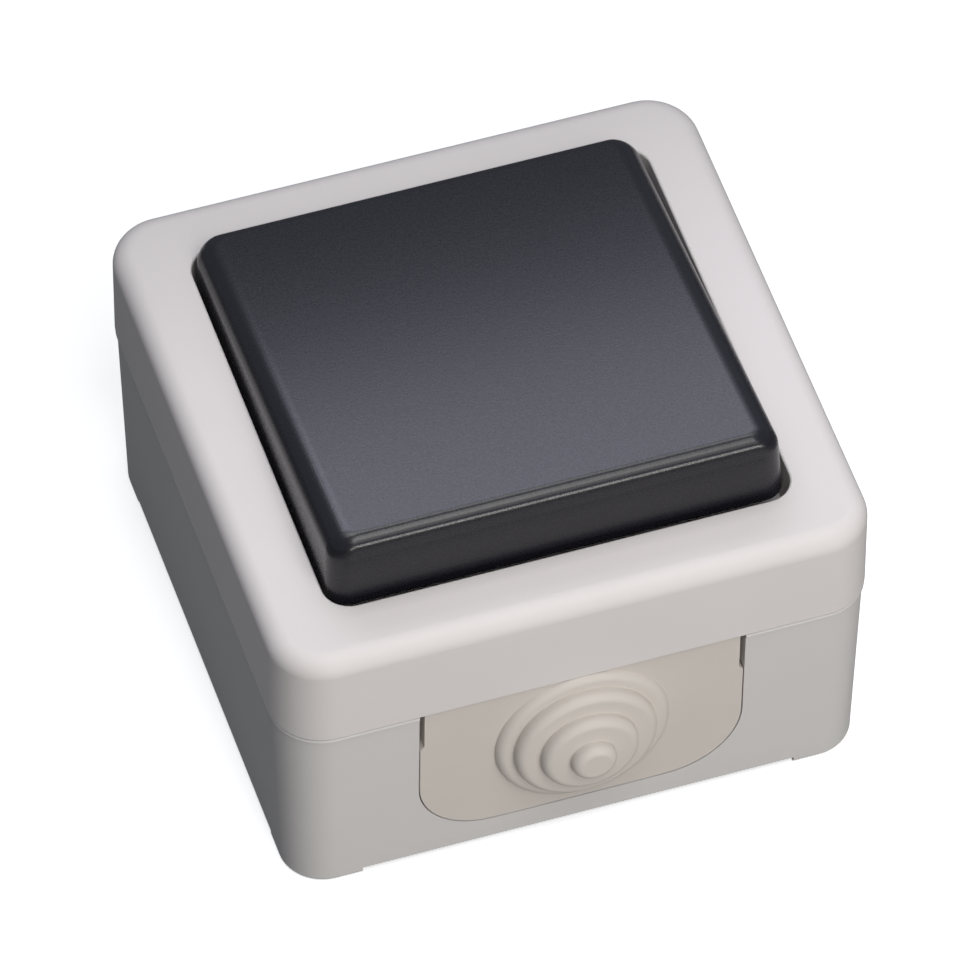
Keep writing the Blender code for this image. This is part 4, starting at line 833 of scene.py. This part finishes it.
# %% Metals
def metal(name, tone, shade, stretch, grain, relief, roughness, spread):
    """Metal with a grain that is stretched along the given axes."""
    material, tree, shader, place = blank(name)
    stretched = add_node(tree, "ShaderNodeMapping", {"Scale": stretch}, {"Vector": place})
    lines = add_node(tree, "ShaderNodeTexNoise", {"Scale": 1 / grain, "Detail": 4.0},
                     {"Vector": stretched.outputs[0]})
    dress(tree, shader, tone, shade, lines, lines, relief, roughness, spread)
    shader.inputs["Metallic"].default_value = 1.0
    return material


# Rolled brass sheet: yellow, with fine bright lines along the strip.
brass = metal("rolled_brass", "#E3C380", "#D0AC66", (1, 0.06, 1), 0.15 * MM, 0.002 * MM,
              0.28, 0.08)
# Rolled copper sheet: the same lines in a pinkish red.
copper = metal("rolled_copper", "#DDA080", "#CC8C6A", (1, 0.06, 1), 0.15 * MM, 0.002 * MM,
               0.26, 0.08)
# Silver rivet, headed and turned: pale and bright, with short marks round its shank.
silver = metal("turned_silver", "#E6E3DD", "#DAD6CF", (1, 1, 0.2), 0.12 * MM, 0.001 * MM,
               0.2, 0.05)
# Zinc plated steel: a cool grey with soft clouds that the bath leaves.
zinc = metal("zinc_plated_steel", "#C9CBCC", "#B7BABD", (1, 1, 1), 0.4 * MM, 0.002 * MM,
             0.32, 0.08)
# Drawn steel wire: dark grey, with hair-fine marks from the die.
spring_steel = metal("drawn_spring_wire", "#9A9CA0", "#8A8C90", (1, 1, 0.3), 0.08 * MM,
                     0.001 * MM, 0.3, 0.06)
print("metals:", [material.name for material in (brass, copper, silver, zinc, spring_steel)])

# %% [markdown]
# Every piece now gets the finish that its slot in the record asks for, the fine pieces and the
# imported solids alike, so nothing is left with a plain colour if it shows in a gap.

# %% Give every piece its finish
FINISH = {"base_plastic": base_abs, "cover_plastic": cover_abs, "rocker_plastic": rocker_abs,
          "grommet_rubber": grommet_tpe, "gasket_rubber": gasket_epdm, "insert_plastic": insert_pa,
          "bearing_plastic": bearing_pom, "plunger_plastic": plunger_pa, "brass_strip": brass,
          "copper_strip": copper, "contact_silver": silver, "zinc_steel": zinc,
          "spring_steel": spring_steel}
for part in frame["record"]["subparts"]:
    node = frame["nodes"][part["node"]]
    node.data.materials.clear()
    node.data.materials.append(FINISH[part["material_slot"]])
for piece in (cover, base, lower_grommet, upper_grommet, rocker):
    piece.data.materials.clear()
    piece.data.materials.append(FINISH[piece["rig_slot"]])
print("finishes:", len(FINISH))

# %% [markdown]
# The floor and the world are pale and plain. The camera sees both as white, also through glass,
# while the light that they give to the object stays low, so that the shaded walls keep their depth.
# Light Path tells the kinds of ray apart. A reflection sees a small share of the white: nothing here
# is a mirror, and a full share would lay a grey veil over the dark rocker. The floor is a wide disc
# just below the feet, so that no two faces share a plane. Its glow fills its colour up to white, and
# its diffuse part keeps the object's shadow.

# %% Floor
FLOOR_RADIUS = 3.0
FLOOR_DROP = 0.05 * MM
FLOOR_FOR_EYE = "#F4F4F4"
FLOOR_FOR_LIGHT = "#6A6A6A"
FLOOR_GLOW = 0.62
GLOSSY_SHARE = 0.05


def seen_share(tree):
    """1 for rays of the camera and through glass, a share of it for reflections, else 0."""
    rays = add_node(tree, "ShaderNodeLightPath")
    direct = add_node(tree, "ShaderNodeMath", links={0: rays.outputs["Is Camera Ray"],
                                                     1: rays.outputs["Is Transmission Ray"]},
                      operation="MAXIMUM")
    return add_node(tree, "ShaderNodeMath", {1: GLOSSY_SHARE},
                    {0: rays.outputs["Is Glossy Ray"], 2: direct.outputs[0]},
                    operation="MULTIPLY_ADD").outputs[0]


bpy.ops.object.select_all(action="DESELECT")
bpy.ops.mesh.primitive_circle_add(vertices=RING_SIDES, radius=FLOOR_RADIUS, fill_type="NGON",
                                  location=(0, 0, -FLOOR_DROP))
floor = bpy.context.object
floor.name = "floor"
floor_paint = bpy.data.materials.new("pale_floor")
floor_paint.use_nodes = True
tree = floor_paint.node_tree
tree.nodes.clear()
seen = add_node(tree, "ShaderNodeBsdfDiffuse", {"Color": linear(FLOOR_FOR_EYE)})
glow = add_node(tree, "ShaderNodeEmission", {"Color": WHITE, "Strength": FLOOR_GLOW})
pale = add_node(tree, "ShaderNodeAddShader", links={0: seen.outputs[0], 1: glow.outputs[0]})
dim = add_node(tree, "ShaderNodeBsdfDiffuse", {"Color": linear(FLOOR_FOR_LIGHT)})
both = add_node(tree, "ShaderNodeMixShader", links={0: seen_share(tree), 1: dim.outputs[0],
                                                   2: pale.outputs[0]})
add_node(tree, "ShaderNodeOutputMaterial", links={"Surface": both.outputs[0]})
floor.data.materials.append(floor_paint)
print("the floor glows with", FLOOR_GLOW, "for the eye")

# %% [markdown]
# The world is made the same way: a strength of 1 is white for the eye, and a quarter of that, with a
# trace of blue, is the fill light that reaches the walls in the shade.

# %% World
WORLD_FOR_LIGHT = 0.25
WORLD_TINT = "#EAF3FF"
world = bpy.data.worlds.new("studio")
bpy.context.scene.world = world
world.use_nodes = True
tree = world.node_tree
tree.nodes.clear()
share = seen_share(tree)
strength = add_node(tree, "ShaderNodeMapRange", {"To Min": WORLD_FOR_LIGHT, "To Max": 1.0},
                    {"Value": share})
tint = add_node(tree, "ShaderNodeMix", {6: linear(WORLD_TINT), 7: WHITE}, {0: share},
                data_type="RGBA")
sky = add_node(tree, "ShaderNodeBackground", links={"Color": tint.outputs[2],
                                                    "Strength": strength.outputs[0]})
add_node(tree, "ShaderNodeOutputWorld", links={"Surface": sky.outputs[0]})
print("the world lights the object with", WORLD_FOR_LIGHT)

# %% [markdown]
# Five soft boxes light the switch, each with one task. A narrow one close behind it shows in the
# rocker as a sheen that grows towards the raised end. A grid keeps its light off the rest, and the
# same holds for the one overhead, which lifts the far part of the face. A large one above the front
# lights the cover's face, one at the front right its rolled edges, and a low, wide one the front
# walls. Nothing stands on the left, so the left walls get only the fill light of the world.

# %% Studio light
def softbox(name, place, aim, width, height, watts, colour="#FFFFFF", spread=180):
    """Rectangular area light that looks at a point, with a grid that narrows it when asked."""
    bpy.ops.object.select_all(action="DESELECT")
    bpy.ops.object.light_add(type="AREA", location=place)
    lamp = bpy.context.object
    lamp.name = name
    lamp.rotation_euler = (Vector(aim) - Vector(place)).to_track_quat("-Z", "Y").to_euler()
    lamp.data.shape = "RECTANGLE"
    lamp.data.size, lamp.data.size_y = width, height
    lamp.data.energy = watts
    lamp.data.color = linear(colour)[:3]
    lamp.data.spread = radians(spread)
    lamp.visible_camera = False
    return lamp


HEART = (0, 0, HINGE.z)
lamps = (softbox("back_light", place=(0.030, 0.0677, 0.1293), aim=(0.030, -0.030, 0.0405),
                 width=0.19, height=0.04, watts=0.0170, colour="#ECEDFF", spread=75),
         softbox("over_light", place=(0.005, 0.038, 0.21), aim=(0.005, -0.03, 0.04),
                 width=0.22, height=0.06, watts=0.025, spread=70),
         softbox("top_light", place=(0.02, -0.20, 0.42), aim=HEART,
                 width=0.25, height=0.25, watts=0.79, colour="#FFFEFA"),
         softbox("front_light", place=(0.08, -0.42, 0.38), aim=HEART,
                 width=0.35, height=0.25, watts=0.37),
         softbox("low_light", place=(0.12, -0.60, 0.032), aim=HEART,
                 width=0.50, height=0.06, watts=1.48, colour="#FFFDF8"))
print("lamps:", [lamp.name for lamp in lamps])

# %% [markdown]
# The camera was found by fitting a pinhole camera to the edges of the box in the photograph: it
# looks down at 50 degrees, from a little left of the front and 1.25 m away, with a long lens that
# keeps the edges nearly parallel.

# %% Camera
AZIMUTH, ELEVATION, ROLL = radians(-18.34), radians(50.29), radians(0.275)
TARGET = Vector((-1.27, -5.10, 24.38)) * MM
DISTANCE = 1249.6 * MM
LENS_MM = 430.3
SENSOR_MM = 36.0
back = Vector((sin(AZIMUTH) * cos(ELEVATION), -cos(AZIMUTH) * cos(ELEVATION), sin(ELEVATION)))
bpy.ops.object.select_all(action="DESELECT")
bpy.ops.object.camera_add(location=TARGET + back * DISTANCE)
camera = bpy.context.object
right = Vector((0, 0, 1)).cross(back).normalized()
up = back.cross(right)
turned_right = right * cos(ROLL) + up * sin(ROLL)
turned_up = up * cos(ROLL) - right * sin(ROLL)
camera.rotation_euler = Matrix((turned_right, turned_up, back)).transposed().to_euler()
camera.data.lens = LENS_MM
camera.data.sensor_width = SENSOR_MM
bpy.context.scene.camera = camera
bpy.context.scene.view_settings.view_transform = "Standard"
print(f"camera {DISTANCE:.2f} m away, {degrees(ELEVATION):.0f} degrees up")
